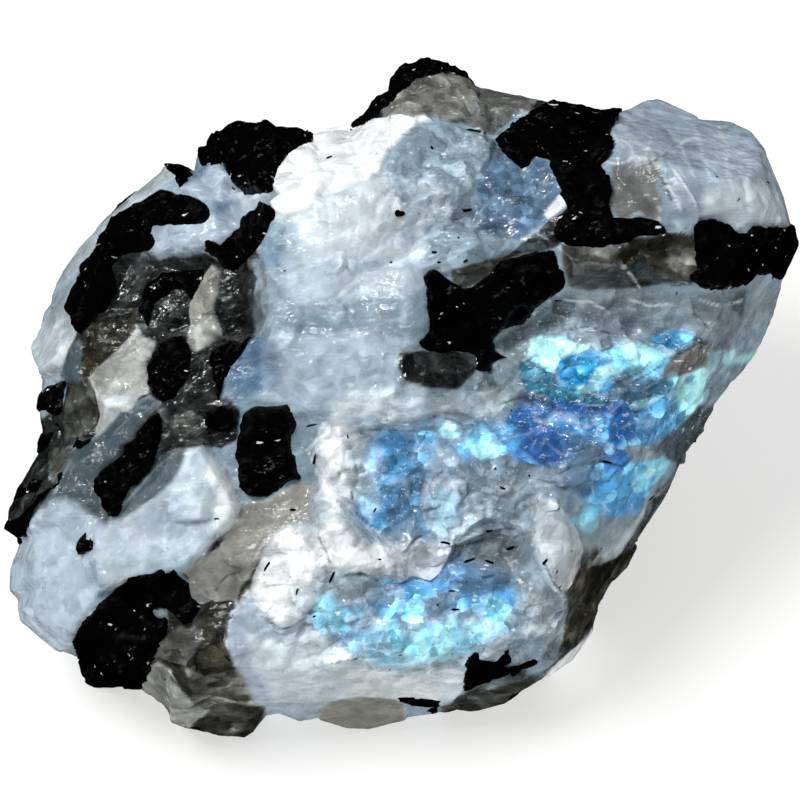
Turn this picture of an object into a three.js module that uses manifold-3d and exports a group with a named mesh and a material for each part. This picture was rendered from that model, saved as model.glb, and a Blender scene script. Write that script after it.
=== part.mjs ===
// Rough rainbow moonstone: one broken chunk of pale feldspar with black tourmaline grown through it.
//
// Millimetres, +Z up, the origin in the middle of the flat base that the stone rests on.
// The stone is shaped in a frame of its own first, square-on to its show face: x to the right, y up the
// face and w out of it. Outlines are drawn in that view on a sheet of 800 x 800 units, with v down.
import * as THREE from 'three';
import { mergeVertices } from 'three/addons/utils/BufferGeometryUtils.js';
import Module from 'manifold-3d';

const wasm = await Module();
wasm.setup();

// ---- Driving dimensions, mm ----
const STONE_WIDTH = 56;           // widest span of the stone, across the show face
const FRONT_DEPTH = 12.5;         // how far the show face bulges out of the rim's plane
const BACK_DEPTH = 16;            // how far the broken back goes the other way
const BASE_LEVEL = -16.0;         // height of the flat resting face below the stone's heart
const CRYSTAL_ROOT = 3.2;         // how deep each crystal is rooted in the stone

// ---- Angles, shape exponents and counts ----
const FACE_TILT = THREE.MathUtils.degToRad(50);   // how far the show face leans up from standing upright
const ROUNDNESS = 0.86;           // below 1 the stone is boxier than an egg, seen face-on
const FLATNESS = 0.74;            // below 1 the face is flatter and the shoulders are steeper
const GRID = 28;                  // cells along each edge of the cube that the skin is wrapped from
const SLIVER = 0.03;              // mm, slivers left along the joins that are thinner than this are merged
const CHIP_COUNT = 120;           // large broken facets over the whole stone
const CHIP_STEP = 0.9;            // mm, how far neighbouring facets stand above each other
const CHIP_LEAN = 0.22;           // how steeply a facet leans
const CHIP_BORDER = 0.02;         // how wide the border between facets is, as a step of nearness

// ---- The drawing sheet ----
const SHEET_MIDDLE = 400;         // the stone's heart on the sheet, both ways
const OUTLINE_SPAN = 795;         // width of the outline on the sheet
const UNIT = STONE_WIDTH / OUTLINE_SPAN;

const faceOutline = [
  [720, 400], [777, 330], [784, 312], [782, 297], [789, 271], [798, 248], [787, 200], [767, 148], [753, 129],
  [734, 119], [703, 117], [661, 96], [646, 99], [631, 108], [600, 111], [540, 99], [497, 89], [477, 82],
  [466, 70], [445, 61], [426, 58], [400, 67], [389, 78], [388, 90], [372, 99], [368, 108], [350, 128],
  [328, 130], [312, 136], [302, 129], [279, 131], [269, 123], [238, 123], [224, 131], [210, 149], [198, 151],
  [192, 169], [180, 164], [163, 163], [159, 170], [137, 189], [106, 213], [73, 247], [49, 282], [34, 312],
  [35, 321], [26, 337], [28, 354], [40, 374], [37, 404], [42, 432], [37, 453], [19, 483], [8, 507], [3, 529],
  [21, 541], [11, 567], [11, 590], [20, 600], [17, 612], [23, 623], [56, 650], [83, 660], [88, 673],
  [103, 683], [144, 679], [158, 690], [167, 706], [171, 722], [189, 731], [219, 739], [243, 741], [255, 733],
  [264, 716], [279, 713], [300, 721], [319, 718], [347, 729], [368, 730], [400, 721], [457, 711], [474, 713],
  [505, 704], [534, 684], [572, 659], [594, 631], [600, 608], [645, 532], [671, 492], [682, 465], [702, 428],
];

// Terraces of the show face: raised or sunk areas with their own outline, height and width of edge, mm.
const terraces = [
  { outline: [[505, 120], [560, 95], [700, 85], [810, 120], [810, 285], [700, 292], [640, 272], [560, 290],
    [545, 240], [560, 205]], height: 2.2, edge: 2.2 },                                    // north-east shoulder
  { outline: [[275, 120], [400, 108], [500, 135], [560, 195], [545, 250], [425, 275], [425, 350], [475, 380],
    [420, 425], [320, 410], [262, 345], [256, 200]], height: 2.0, edge: 3.0 },            // milky crown
  { outline: [[115, 250], [255, 262], [262, 335], [205, 350], [150, 400], [95, 385], [85, 330]],
    height: -1.5, edge: 2.0 },                                                            // smoky window
  { outline: [[355, 430], [430, 415], [475, 480], [540, 505], [520, 560], [420, 572], [370, 540], [335, 480]],
    height: -1.6, edge: 2.4 },                                                            // flash basin
  { outline: [[500, 320], [700, 300], [760, 340], [700, 430], [640, 480], [540, 460], [500, 400]],
    height: -1.0, edge: 3.0 },                                                            // flash slope
];

// Rounded swellings of the show face: middle, half-widths, turn in degrees and height in mm.
const swellings = [
  { u: 330, v: 200, across: 95, along: 80, turn: 20, height: 1.6 },      // milky crown
  { u: 705, v: 165, across: 85, along: 75, turn: 0, height: 1.8 },       // grey glassy knob
  { u: 215, v: 668, across: 62, along: 75, turn: 0, height: 1.8 },       // smoky foot
  { u: 345, v: 535, across: 40, along: 52, turn: -20, height: 1.4 },     // white lip, west
  { u: 555, v: 545, across: 40, along: 58, turn: 20, height: 1.4 },      // white lip, east
  { u: 450, v: 300, across: 70, along: 60, turn: 0, height: 0.8 },       // behind the middle slab
];

// Cleavage faces that cut the rough shape off flat: the way they look (degrees round the face from +x,
// then degrees out of the face's plane, towards the front) and their distance from the heart, mm.
const cleavages = [
  { name: 'south-east side', around: -28.6, outward: 22, distance: 18.6 },
  { name: 'north side', around: 77, outward: 20, distance: 23.2 },
  { name: 'west side', around: 152, outward: 22, distance: 23.2 },
  { name: 'south side', around: -84, outward: 26, distance: 20.6 },
  { name: 'back', around: 70, outward: -78, distance: 12.8 },
  { name: 'back east', around: -4, outward: -42, distance: 19.8 },
  { name: 'back west', around: 168, outward: -38, distance: 21.0 },
  { name: 'back north', around: 100, outward: -36, distance: 18.6 },
  { name: 'back north-east', around: 48, outward: -34, distance: 25.2 },
];

// Crystals and blocks that stand out of the skin: outline and how far the top stands proud, mm.
const crystals = [
  { name: 'north-west crest', proud: 0.9, outline: [[312, 136], [288, 150], [270, 189], [242, 194], [221, 161],
    [199, 164], [198, 151], [210, 149], [224, 131], [239, 123], [269, 123], [279, 131], [302, 129]] },
  { name: 'west crescent', proud: 0.9, outline: [[207, 207], [203, 223], [150, 223], [150, 245], [140, 252],
    [127, 251], [109, 266], [113, 292], [104, 307], [77, 333], [66, 306], [70, 282], [88, 248], [111, 219],
    [163, 187], [196, 197]] },
  { name: 'west link', proud: 0.6, outline: [[274, 210], [275, 215], [257, 246], [234, 271], [221, 268],
    [214, 256], [201, 250], [205, 238], [221, 245], [252, 208], [256, 197], [266, 200]] },
  { name: 'west pool', proud: 0.5, outline: [[200, 267], [190, 300], [182, 289], [171, 289], [153, 302],
    [147, 328], [139, 320], [141, 287], [147, 279], [160, 269]] },
  { name: 'west finger', proud: 0.8, outline: [[180, 334], [161, 342], [146, 367], [152, 396], [160, 402],
    [172, 398], [188, 372], [190, 354]] },
  { name: 'west seam', proud: 0.4, outline: [[262, 333], [240, 340], [228, 339], [208, 349], [205, 360],
    [214, 402], [220, 402], [231, 366], [250, 340]] },
  { name: 'west blade', proud: 0.9, outline: [[157, 413], [148, 415], [137, 437], [124, 444], [121, 455],
    [96, 476], [92, 488], [109, 516], [117, 515], [122, 498], [147, 471], [154, 456], [161, 425]] },
  { name: 'middle block', proud: 0.8, outline: [[286, 406], [295, 420], [290, 446], [301, 480], [287, 483],
    [266, 498], [251, 498], [238, 488], [234, 458], [242, 414], [254, 407]] },
  { name: 'middle slab', proud: 1.0, outline: [[556, 248], [567, 286], [533, 311], [524, 323], [503, 329],
    [493, 338], [497, 350], [491, 370], [477, 370], [476, 354], [428, 350], [418, 342], [430, 332],
    [423, 276], [430, 268], [464, 289], [494, 271], [500, 260]] },
  { name: 'north band', proud: 0.7, outline: [[497, 137], [528, 112], [562, 105], [622, 111], [613, 127],
    [614, 147], [606, 163], [615, 192], [611, 202], [615, 217], [640, 215], [667, 231], [600, 246],
    [561, 241], [554, 231], [559, 216], [570, 206], [549, 160], [537, 153], [530, 165], [522, 167],
    [502, 148]] },
  { name: 'north cap', proud: 0.5, outline: [[360, 118], [372, 99], [388, 90], [389, 78], [400, 67], [426, 58],
    [466, 70], [478, 82], [450, 72], [416, 77], [376, 114]] },
  { name: 'east cap', proud: 0.9, outline: [[798, 248], [788, 279], [783, 270], [760, 273], [750, 284],
    [734, 288], [693, 281], [700, 268], [697, 226], [712, 219], [730, 224], [747, 236], [755, 224],
    [784, 226]] },
  { name: 'south-west block', proud: 0.9, outline: [[187, 584], [199, 608], [189, 625], [168, 610], [152, 613],
    [150, 618], [165, 619], [167, 630], [156, 645], [144, 678], [103, 683], [88, 673], [76, 658], [71, 645],
    [78, 629], [103, 600], [127, 580], [158, 571]] },
  { name: 'south fleck', proud: 0.4, outline: [[509, 652], [510, 662], [500, 669], [508, 674], [464, 697],
    [470, 661], [480, 662], [496, 665]] },
  { name: 'far west heel', proud: 0.4, outline: [[3, 529], [32, 497], [54, 482], [64, 473], [30, 517],
    [21, 540]] },
  { name: 'west wedge', proud: 2.0, outline: [[205, 443], [235, 487], [241, 505], [236, 520], [190, 567],
    [105, 587], [92, 560], [103, 530], [158, 475], [176, 447]] },
  { name: 'north-east knob', proud: 1.2, outline: [[640, 104], [661, 98], [703, 119], [748, 128], [765, 152],
    [783, 205], [784, 222], [752, 220], [712, 214], [660, 222], [640, 208], [620, 180], [620, 130]] },
  { name: 'lip west', proud: 0.7, outline: [[312, 495], [340, 500], [372, 530], [405, 560], [398, 577],
    [350, 572], [322, 540]] },
  { name: 'lip east', proud: 0.7, outline: [[530, 500], [565, 520], [582, 560], [570, 595], [548, 585],
    [530, 545]] },
  { name: 'flash plate', proud: 0.6, outline: [[540, 335], [590, 330], [665, 345], [700, 372], [708, 405],
    [660, 410], [610, 380], [560, 375]] },
  { name: 'lower plate', proud: 0.6, outline: [[345, 595], [420, 585], [510, 600], [520, 635], [440, 660],
    [360, 640]] },
];

// Crystals of the back: each repeats an outline of the face, mirrored there, moved and turned.
const backCrystals = [
  { like: 'west crescent', u: 560, v: 180, turn: 35, size: 1.1 },
  { like: 'middle slab', u: 300, v: 330, turn: -60, size: 1.0 },
  { like: 'north band', u: 180, v: 230, turn: 80, size: 0.9 },
  { like: 'middle block', u: 640, v: 420, turn: 15, size: 1.2 },
  { like: 'west blade', u: 430, v: 200, turn: -25, size: 1.1 },
];

// ---- Small maths ----
const smoothstep = (low, high, value) => THREE.MathUtils.smoothstep(value, low, high);
const fract = (value) => value - Math.floor(value);
const noise = (index, salt) => fract(Math.sin(index * 12.9898 + salt * 78.233) * 43758.5453);
const toFace = ([u, v]) => new THREE.Vector2((u - SHEET_MIDDLE) * UNIT, (SHEET_MIDDLE - v) * UNIT);
const outlineOnFace = (outline) => {
  const points = outline.map(toFace);
  return THREE.ShapeUtils.isClockWise(points) ? points.reverse() : points;
};

// Distance from a point to an outline's edge, mm, positive inside.
function insetDistance(outline, x, y) {
  let nearest = Infinity;
  let inside = false;
  for (let i = 0, j = outline.length - 1; i < outline.length; j = i++) {
    const a = outline[i];
    const b = outline[j];
    const along = THREE.MathUtils.clamp(
      ((x - a.x) * (b.x - a.x) + (y - a.y) * (b.y - a.y)) / a.distanceToSquared(b), 0, 1);
    nearest = Math.min(nearest, Math.hypot(x - a.x - along * (b.x - a.x), y - a.y - along * (b.y - a.y)));
    if ((a.y > y) !== (b.y > y) && x < a.x + (b.x - a.x) * (y - a.y) / (b.y - a.y)) inside = !inside;
  }
  return inside ? nearest : -nearest;
}

// ---- The stone's skin, as a point for each direction out of its heart ----
const rimOutline = outlineOnFace(faceOutline);
const terraceShapes = terraces.map((terrace) => ({ ...terrace, outline: outlineOnFace(terrace.outline) }));

// How far the outline lies from the heart, along one way across the face.
function rimRadius(angle) {
  const way = new THREE.Vector2(Math.cos(angle), Math.sin(angle));
  let radius = 0;
  for (let i = 0, j = rimOutline.length - 1; i < rimOutline.length; j = i++) {
    const a = rimOutline[j];
    const edge = rimOutline[i].clone().sub(a);
    const across = way.cross(edge);
    const reach = a.cross(edge) / across;
    const along = a.cross(way) / across;
    if (reach > 0 && along >= 0 && along <= 1) radius = Math.max(radius, reach);
  }
  return radius;
}

// The same outline with its notches rounded off, for the skin well inside the rim.
function calmRadius(angle) {
  const samples = 9;
  const spread = 0.5;
  let sum = 0;
  for (let i = 0; i < samples; i++) sum += rimRadius(angle + spread * (i / (samples - 1) - 0.5) * 2);
  return sum / samples;
}

// The rim isn't level: it waves out of the plane of the face.
const rimWave = (angle) => -1.5 * Math.sin(angle) + Math.sin(2 * angle + 0.5)
  + 0.6 * Math.sin(3 * angle + 1.2);

function faceRelief(x, y) {
  let height = 0;
  for (const terrace of terraceShapes) {
    const inset = insetDistance(terrace.outline, x, y);
    height += terrace.height * smoothstep(-0.5 * terrace.edge, 0.5 * terrace.edge, inset);
  }
  for (const swelling of swellings) {
    const middle = toFace([swelling.u, swelling.v]);
    const offset = new THREE.Vector2(x, y).sub(middle).rotateAround(new THREE.Vector2(),
      THREE.MathUtils.degToRad(swelling.turn));
    const reach = Math.hypot(offset.x / (swelling.across * UNIT), offset.y / (swelling.along * UNIT));
    height += swelling.height * (1 - smoothstep(0.2, 1.2, reach));
  }
  return height;
}

// Middles of the broken facets, spread evenly over all directions on a spiral.
const chips = Array.from({ length: CHIP_COUNT }, (_, i) => {
  const level = 1 - (2 * i + 1) / CHIP_COUNT;
  const angle = i * Math.PI * (3 - Math.sqrt(5)) + 0.9 * noise(i, 1);
  const ring = Math.sqrt(1 - level * level);
  return {
    way: new THREE.Vector3(ring * Math.cos(angle), ring * Math.sin(angle), level),
    step: noise(i, 2) - 0.5,
    lean: new THREE.Vector3(noise(i, 3) - 0.5, noise(i, 4) - 0.5, noise(i, 5) - 0.5),
  };
});

// Height of the broken facets: the nearest one's own tilted plane, run into the next one's at their border.
function chipHeight(way) {
  let [first, second] = [{ reach: -1 }, { reach: -1 }];
  for (const chip of chips) {
    const reach = chip.way.dot(way);
    if (reach > first.reach) [first, second] = [{ reach, chip }, first];
    else if (reach > second.reach) second = { reach, chip };
  }
  const plane = ({ chip }) => CHIP_STEP * chip.step
    + CHIP_LEAN * STONE_WIDTH * way.clone().sub(chip.way).dot(chip.lean);
  const share = 0.5 + 0.5 * smoothstep(0, CHIP_BORDER, first.reach - second.reach);
  return THREE.MathUtils.lerp(plane(second), plane(first), share);
}

const cleavagePlanes = cleavages.map(({ around, outward, distance }) => {
  const turn = THREE.MathUtils.degToRad(around);
  const rise = THREE.MathUtils.degToRad(outward);
  return {
    normal: new THREE.Vector3(Math.cos(rise) * Math.cos(turn), Math.cos(rise) * Math.sin(turn), Math.sin(rise)),
    distance,
  };
});

function skinPoint(way) {
  const sideways = Math.min(1, Math.hypot(way.x, way.y));
  const angle = Math.atan2(way.y, way.x);
  const rim = THREE.MathUtils.lerp(calmRadius(angle), rimRadius(angle), smoothstep(0.5, 0.95, sideways));
  const radius = rim * sideways ** ROUNDNESS;
  const point = new THREE.Vector3(radius * Math.cos(angle), radius * Math.sin(angle), 0);
  const depth = way.z > 0 ? FRONT_DEPTH : -BACK_DEPTH;
  point.z = depth * Math.abs(way.z) ** FLATNESS + rimWave(angle) * sideways ** 2;
  if (way.z > 0) point.z += faceRelief(point.x, point.y) * smoothstep(0, 0.5, way.z);
  const chipping = chipHeight(way) * (way.z > 0 ? 0.5 : 1) * smoothstep(0, 0.3, Math.abs(way.z));
  point.addScaledVector(way, chipping);
  for (const { normal, distance } of cleavagePlanes) {
    const reach = normal.dot(point);
    if (reach > distance) point.multiplyScalar(distance / reach);
  }
  return point;
}

// ---- Meshes ----
// A closed skin wrapped round the heart: each face of a cube is a grid, blown up onto the skin.
function skinGeometry() {
  const box = new THREE.BoxGeometry(2, 2, 2, GRID, GRID, GRID);
  const position = box.attributes.position;
  const way = new THREE.Vector3();
  for (let i = 0; i < position.count; i++) {
    way.fromBufferAttribute(position, i);
    way.set(Math.tan(way.x * Math.PI / 4), Math.tan(way.y * Math.PI / 4), Math.tan(way.z * Math.PI / 4));
    position.setXYZ(i, ...skinPoint(way.normalize()));
  }
  return box;
}

// The direction whose skin point lies at (x, y), found by halving.
function wayToFace(x, y) {
  const angle = Math.atan2(y, x);
  const target = Math.hypot(x, y);
  let low = 0;
  let high = 1;
  for (let i = 0; i < 24; i++) {
    const middle = (low + high) / 2;
    const rim = THREE.MathUtils.lerp(calmRadius(angle), rimRadius(angle), smoothstep(0.5, 0.95, middle));
    if (rim * middle ** ROUNDNESS < target) low = middle;
    else high = middle;
  }
  return new THREE.Vector3(low * Math.cos(angle), low * Math.sin(angle), Math.sqrt(1 - low * low));
}

// How wide a bevel an outline can take: a share of its mean width, and of how far its top stands proud.
function bevelOf(outline, proud) {
  const perimeter = outline.reduce((sum, corner, i) => sum + corner.distanceTo(outline.at(i - 1)), 0);
  const meanWidth = 2 * Math.abs(THREE.ShapeUtils.area(outline)) / perimeter;
  return Math.min(0.35 * proud, 0.35, 0.2 * meanWidth);
}

// The outline pulled in by a bevel, each corner along its own bisector.
function insetOutline(outline, bevel) {
  return outline.map((corner, i) => {
    const before = outline[(i + outline.length - 1) % outline.length];
    const after = outline[(i + 1) % outline.length];
    const into = corner.clone().sub(before).normalize();
    const out = after.clone().sub(corner).normalize();
    const inward = new THREE.Vector2(-into.y - out.y, into.x + out.x);
    const stretch = Math.max(0.5, inward.lengthSq() / 2);
    return corner.clone().addScaledVector(inward, bevel / stretch);
  });
}

// A crystal: its outline rooted under the skin, a steep wall, a bevel and a broken, faceted top.
function crystalGeometry({ outline, proud, behind = false }, index) {
  const top = insetOutline(outline, bevelOf(outline, proud));
  const lift = (corners, height, jitter) => corners.map((corner, i) => {
    const way = wayToFace(corner.x, corner.y);
    const push = way.clone();
    if (height > 0) push.multiplyScalar(1.1 - Math.hypot(way.x, way.y) ** 4).setZ(Math.max(way.z, 0.1));
    if (behind) way.z = -way.z;
    if (behind) push.z = -push.z;
    return skinPoint(way).addScaledVector(push, height + jitter * (noise(i + 40 * index, 7) - 0.5));
  });
  const rings = [lift(outline, -CRYSTAL_ROOT, 0), lift(outline, 0.55 * proud, 0), lift(top, proud, 0.5 * proud)];
  const count = outline.length;
  const faces = [];
  for (let level = 0; level < 2; level++) {
    for (let i = 0; i < count; i++) {
      const next = (i + 1) % count;
      const a = level * count;
      faces.push(a + i, a + next, a + count + next, a + i, a + count + next, a + count + i);
    }
  }
  for (const [a, b, c] of THREE.ShapeUtils.triangulateShape(outline, [])) {
    faces.push(a, c, b, 2 * count + a, 2 * count + b, 2 * count + c);
  }
  if (behind) faces.reverse();
  const geometry = new THREE.BufferGeometry().setFromPoints(rings.flat());
  geometry.setIndex(faces);
  return geometry;
}

// ---- Joining ----
function toSolid(geometry) {
  const bare = geometry.clone();
  bare.deleteAttribute('normal');
  bare.deleteAttribute('uv');
  const merged = mergeVertices(bare, 1e-4);
  return new wasm.Manifold(new wasm.Mesh({
    numProp: 3,
    vertProperties: Float32Array.from(merged.attributes.position.array),
    triVerts: Uint32Array.from(merged.index.array),
  }));
}

function toGeometry(solid) {
  const mesh = solid.getMesh();
  const geometry = new THREE.BufferGeometry();
  geometry.setAttribute('position', new THREE.BufferAttribute(mesh.vertProperties, 3));
  geometry.setIndex(new THREE.BufferAttribute(mesh.triVerts, 1));
  return geometry;
}

// From the face's frame to the resting frame: the face leans back until FACE_TILT.
function leanBack(geometry) {
  const upFace = new THREE.Vector3(0, Math.sin(FACE_TILT), Math.cos(FACE_TILT));
  const outOfFace = new THREE.Vector3(0, -Math.cos(FACE_TILT), Math.sin(FACE_TILT));
  return geometry.applyMatrix4(new THREE.Matrix4().makeBasis(new THREE.Vector3(1, 0, 0), upFace, outOfFace));
}

// A block that takes away all that lies below the resting face.
function groundBlock() {
  const size = 3 * STONE_WIDTH;
  const block = new THREE.BoxGeometry(size, size, size);
  block.translate(0, 0, BASE_LEVEL - size / 2);
  return toSolid(block);
}

function backCrystal({ like, u, v, turn, size }) {
  const model = crystals.find(({ name }) => name === like);
  const outline = outlineOnFace(model.outline);
  const middle = outline.reduce((sum, corner) => sum.add(corner), new THREE.Vector2()).divideScalar(outline.length);
  const angle = THREE.MathUtils.degToRad(turn);
  const place = toFace([u, v]);
  const moved = outline.map((corner) => corner.clone().sub(middle).multiplyScalar(size)
    .rotateAround(new THREE.Vector2(), angle).add(place));
  return { outline: moved, proud: model.proud, behind: true };
}

function buildStone() {
  const grown = [
    ...crystals.map((crystal) => ({ ...crystal, outline: outlineOnFace(crystal.outline) })),
    ...backCrystals.map(backCrystal),
  ];
  let stone = toSolid(leanBack(skinGeometry()));
  grown.forEach((crystal, index) => {
    stone = stone.add(toSolid(leanBack(crystalGeometry(crystal, index))));
  });
  const geometry = toGeometry(stone.subtract(groundBlock()).asOriginal().simplify(SLIVER));
  geometry.computeBoundingBox();
  const middle = geometry.boundingBox.getCenter(new THREE.Vector3());
  return geometry.translate(-middle.x, -middle.y, -geometry.boundingBox.min.z);
}

const finish = new THREE.MeshStandardMaterial({ color: 0xb4c0cc, roughness: 0.3, metalness: 0 });
const roughMoonstone = new THREE.Mesh(buildStone(), finish);
roughMoonstone.name = 'rough_moonstone';

const group = new THREE.Group();
group.add(roughMoonstone);
export default group;
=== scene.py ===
# %% [markdown]
# # A rough rainbow moonstone
# A broken chunk of pale feldspar, milky in some places and clear in others, with black tourmaline
# crystals grown through it. Light that enters the feldspar comes back blue and cyan from thin layers
# inside it: that flash is what makes it a moonstone. The stone is built here as a skin of broken facets
# with the black crystals standing out of it, and each mineral gets a finish of its own.

# %% Load the frame
import math

import bpy
import mathutils
import numpy as np
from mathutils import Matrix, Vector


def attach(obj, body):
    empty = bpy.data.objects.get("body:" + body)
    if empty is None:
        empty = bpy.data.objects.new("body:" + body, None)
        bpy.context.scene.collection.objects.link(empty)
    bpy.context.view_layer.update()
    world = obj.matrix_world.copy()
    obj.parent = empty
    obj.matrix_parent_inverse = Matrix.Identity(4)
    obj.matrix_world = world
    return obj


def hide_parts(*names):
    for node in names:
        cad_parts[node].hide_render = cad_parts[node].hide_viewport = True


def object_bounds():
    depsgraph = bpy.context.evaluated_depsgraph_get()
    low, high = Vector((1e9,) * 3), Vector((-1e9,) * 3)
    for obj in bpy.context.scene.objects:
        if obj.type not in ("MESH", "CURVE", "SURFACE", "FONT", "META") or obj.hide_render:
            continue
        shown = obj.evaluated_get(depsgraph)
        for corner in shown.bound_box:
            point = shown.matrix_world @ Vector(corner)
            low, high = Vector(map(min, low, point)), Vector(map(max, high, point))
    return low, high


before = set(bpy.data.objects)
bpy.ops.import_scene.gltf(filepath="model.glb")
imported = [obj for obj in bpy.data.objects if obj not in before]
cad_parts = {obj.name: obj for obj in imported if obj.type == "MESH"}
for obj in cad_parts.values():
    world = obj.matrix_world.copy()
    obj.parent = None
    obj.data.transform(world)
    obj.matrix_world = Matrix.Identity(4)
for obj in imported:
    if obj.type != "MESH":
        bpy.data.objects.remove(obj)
cad_low, cad_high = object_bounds()
stone_width = (cad_high[0] - cad_low[0]) * 1000
print(f"the frame's stone is {stone_width:.1f} mm wide")

# %% [markdown]
# ## The drawing sheet
# The stone is shaped square-on to its show face first: x to the right, y up the face and w out of it,
# in millimetres from the stone's heart. Outlines are drawn in that view on a sheet of 800 x 800 units,
# with v down. A carver marks up a block from a flat sheet too, and it keeps each crystal's place easy to
# read. Beyond the outline the sheet wraps over the rim and down the sides.

# %% Sheet and driving sizes
FACE_TILT = math.radians(50)  # how far the show face leans back from upright
SHEET_MIDDLE = 400  # sheet units
OUTLINE_SPAN = 795  # sheet units across the stone's outline
UNIT = stone_width / OUTLINE_SPAN  # mm
FRONT_DEPTH = 12.5  # mm from the heart
BACK_DEPTH = 16.0  # mm
BASE_LEVEL = -16.0  # mm, the face that the stone rests on
ROUNDNESS = 0.86  # power of the sine across the face
FLATNESS = 0.74  # power of the cosine out of it
LENS = 300.0  # mm
SENSOR = 36.0  # mm
MARGIN = 1.01  # the view's width over the sheet's
VIEW_DISTANCE = MARGIN * LENS / SENSOR * 2 * SHEET_MIDDLE * UNIT  # mm
print(f"a sheet unit is {UNIT:.3f} mm")

# %% The outline of the show face
FACE_OUTLINE = [
    (720, 400), (777, 330), (784, 312), (782, 297), (789, 271), (798, 248), (787, 200), (767, 148),
    (753, 129), (734, 119), (703, 117), (661, 96), (646, 99), (631, 108), (600, 111), (540, 99), (497, 89),
    (477, 82), (466, 70), (445, 61), (426, 58), (400, 67), (389, 78), (388, 90), (372, 99), (368, 108),
    (350, 128), (328, 130), (312, 136), (302, 129), (279, 131), (269, 123), (238, 123), (224, 131),
    (210, 149), (198, 151), (192, 169), (180, 164), (163, 163), (159, 170), (137, 189), (106, 213),
    (73, 247), (49, 282), (34, 312), (35, 321), (26, 337), (28, 354), (40, 374), (37, 404), (42, 432),
    (37, 453), (19, 483), (8, 507), (3, 529), (21, 541), (11, 567), (11, 590), (20, 600), (17, 612),
    (23, 623), (56, 650), (83, 660), (88, 673), (103, 683), (144, 679), (158, 690), (167, 706), (171, 722),
    (189, 731), (219, 739), (243, 741), (255, 733), (264, 716), (279, 713), (300, 721), (319, 718),
    (347, 729), (368, 730), (400, 721), (457, 711), (474, 713), (505, 704), (534, 684), (572, 659),
    (594, 631), (600, 608), (645, 532), (671, 492), (682, 465), (702, 428),
]


def on_face(outline):
    """Sheet units to millimetres on the face: x = (u - 400) unit, y = (400 - v) unit."""
    return (np.array(outline, float) - SHEET_MIDDLE) * (UNIT, -UNIT)


# %% Steps, mixes and distances
REACH = 2.5  # mm, how far from an outline its distance is still worked out


def smoothstep(low, high, value):
    """0 below low, 1 above high and 3t^2 - 2t^3 in between."""
    t = np.clip((value - low) / (high - low), 0, 1)
    return t * t * (3 - 2 * t)


def blend(share, first, second):
    """The first where the share is 0, the second where it is 1, and a mix in between."""
    return first * (1 - share) + second * share


def within_reach(corners, x, y):
    """Indices of the points inside the box round some corners, widened by REACH."""
    low, high = corners.min(0) - REACH, corners.max(0) + REACH
    return np.flatnonzero((x > low[0]) & (x < high[0]) & (y > low[1]) & (y < high[1]))


def edge_distance(a, b, x, y):
    """Distance from each point to the straight edge from a to b."""
    ex, ey = b - a
    along = np.clip(((x - a[0]) * ex + (y - a[1]) * ey) / (ex * ex + ey * ey), 0, 1)
    return np.hypot(x - a[0] - along * ex, y - a[1] - along * ey)


def inset(outline, x, y):
    """Distance from each point to an outline's nearest edge, in mm, positive inside it and never under
    -REACH. A point is inside when a line to its right crosses the edges an odd number of times."""
    corners = on_face(outline)
    close = within_reach(corners, x, y)
    px, py = x[close], y[close]
    nearest = np.full(px.shape, np.inf)
    inside = np.zeros(px.shape, bool)
    for a, b in zip(corners, np.roll(corners, -1, axis=0)):
        nearest = np.minimum(nearest, edge_distance(a, b, px, py))
        if a[1] != b[1]:
            crossing = a[0] + (b[0] - a[0]) * (py - a[1]) / (b[1] - a[1])
            inside ^= ((a[1] > py) != (b[1] > py)) & (px < crossing)
    depth = np.full(x.shape, -REACH)
    depth[close] = np.maximum(np.where(inside, nearest, -nearest), -REACH)
    return depth


def path_distance(path, x, y):
    """Distance from each point to an open path, in mm, up to REACH."""
    corners = on_face(path)
    close = within_reach(corners, x, y)
    px, py = x[close], y[close]
    edges = [edge_distance(a, b, px, py) for a, b in zip(corners[:-1], corners[1:])]
    distance = np.full(x.shape, REACH)
    distance[close] = np.minimum(REACH, np.min(edges, axis=0))
    return distance


# %% [markdown]
# ## The stone's form
# The skin is a function of the direction out of the heart. Seen face-on it fills the outline exactly;
# out of the face it bulges like a flattened egg, with terraces and swellings on top. It could be sculpted
# by hand, but a function gives the frame's solid and this dressed stone one and the same shape.

# %% The outline as a radius
ANGLES = np.linspace(-math.pi, math.pi, 2881)  # eight steps to a degree
TINY = 1e-9  # keeps a division off zero
SLACK = 1e-6  # lets a ray hit the very end of an edge


def ray_radius(angle, outline):
    """Where a ray from the heart meets the outline: the largest reach over all its edges."""
    way = np.stack([np.cos(angle), np.sin(angle)])
    corners = on_face(outline)
    radius = np.zeros(angle.shape)
    for a, b in zip(corners, np.roll(corners, -1, axis=0)):
        edge = b - a
        across = way[0] * edge[1] - way[1] * edge[0]
        across = np.where(np.abs(across) < TINY, TINY, across)
        reach = (a[0] * edge[1] - a[1] * edge[0]) / across
        along = (a[0] * way[1] - a[1] * way[0]) / across
        hit = (reach > 0) & (along >= -SLACK) & (along <= 1 + SLACK)
        radius = np.where(hit, np.maximum(radius, reach), radius)
    return radius


RIM_TABLE = ray_radius(ANGLES, FACE_OUTLINE)
print(f"the rim lies {RIM_TABLE.min():.1f} to {RIM_TABLE.max():.1f} mm from the heart")


def rim_radius(angle):
    """How far the outline lies from the heart, along one way across the face."""
    return np.interp(angle, ANGLES, RIM_TABLE, period=2 * math.pi)


def calm_radius(angle):
    """The outline's radius averaged over half a radian each way, which rounds its notches off."""
    return sum(rim_radius(angle + step) for step in np.linspace(-0.5, 0.5, 9)) / 9


def rim_wave(angle):
    """Height of the rim out of the face's plane: three slow waves round it."""
    return -1.5 * np.sin(angle) + np.sin(2 * angle + 0.5) + 0.6 * np.sin(3 * angle + 1.2)


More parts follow.
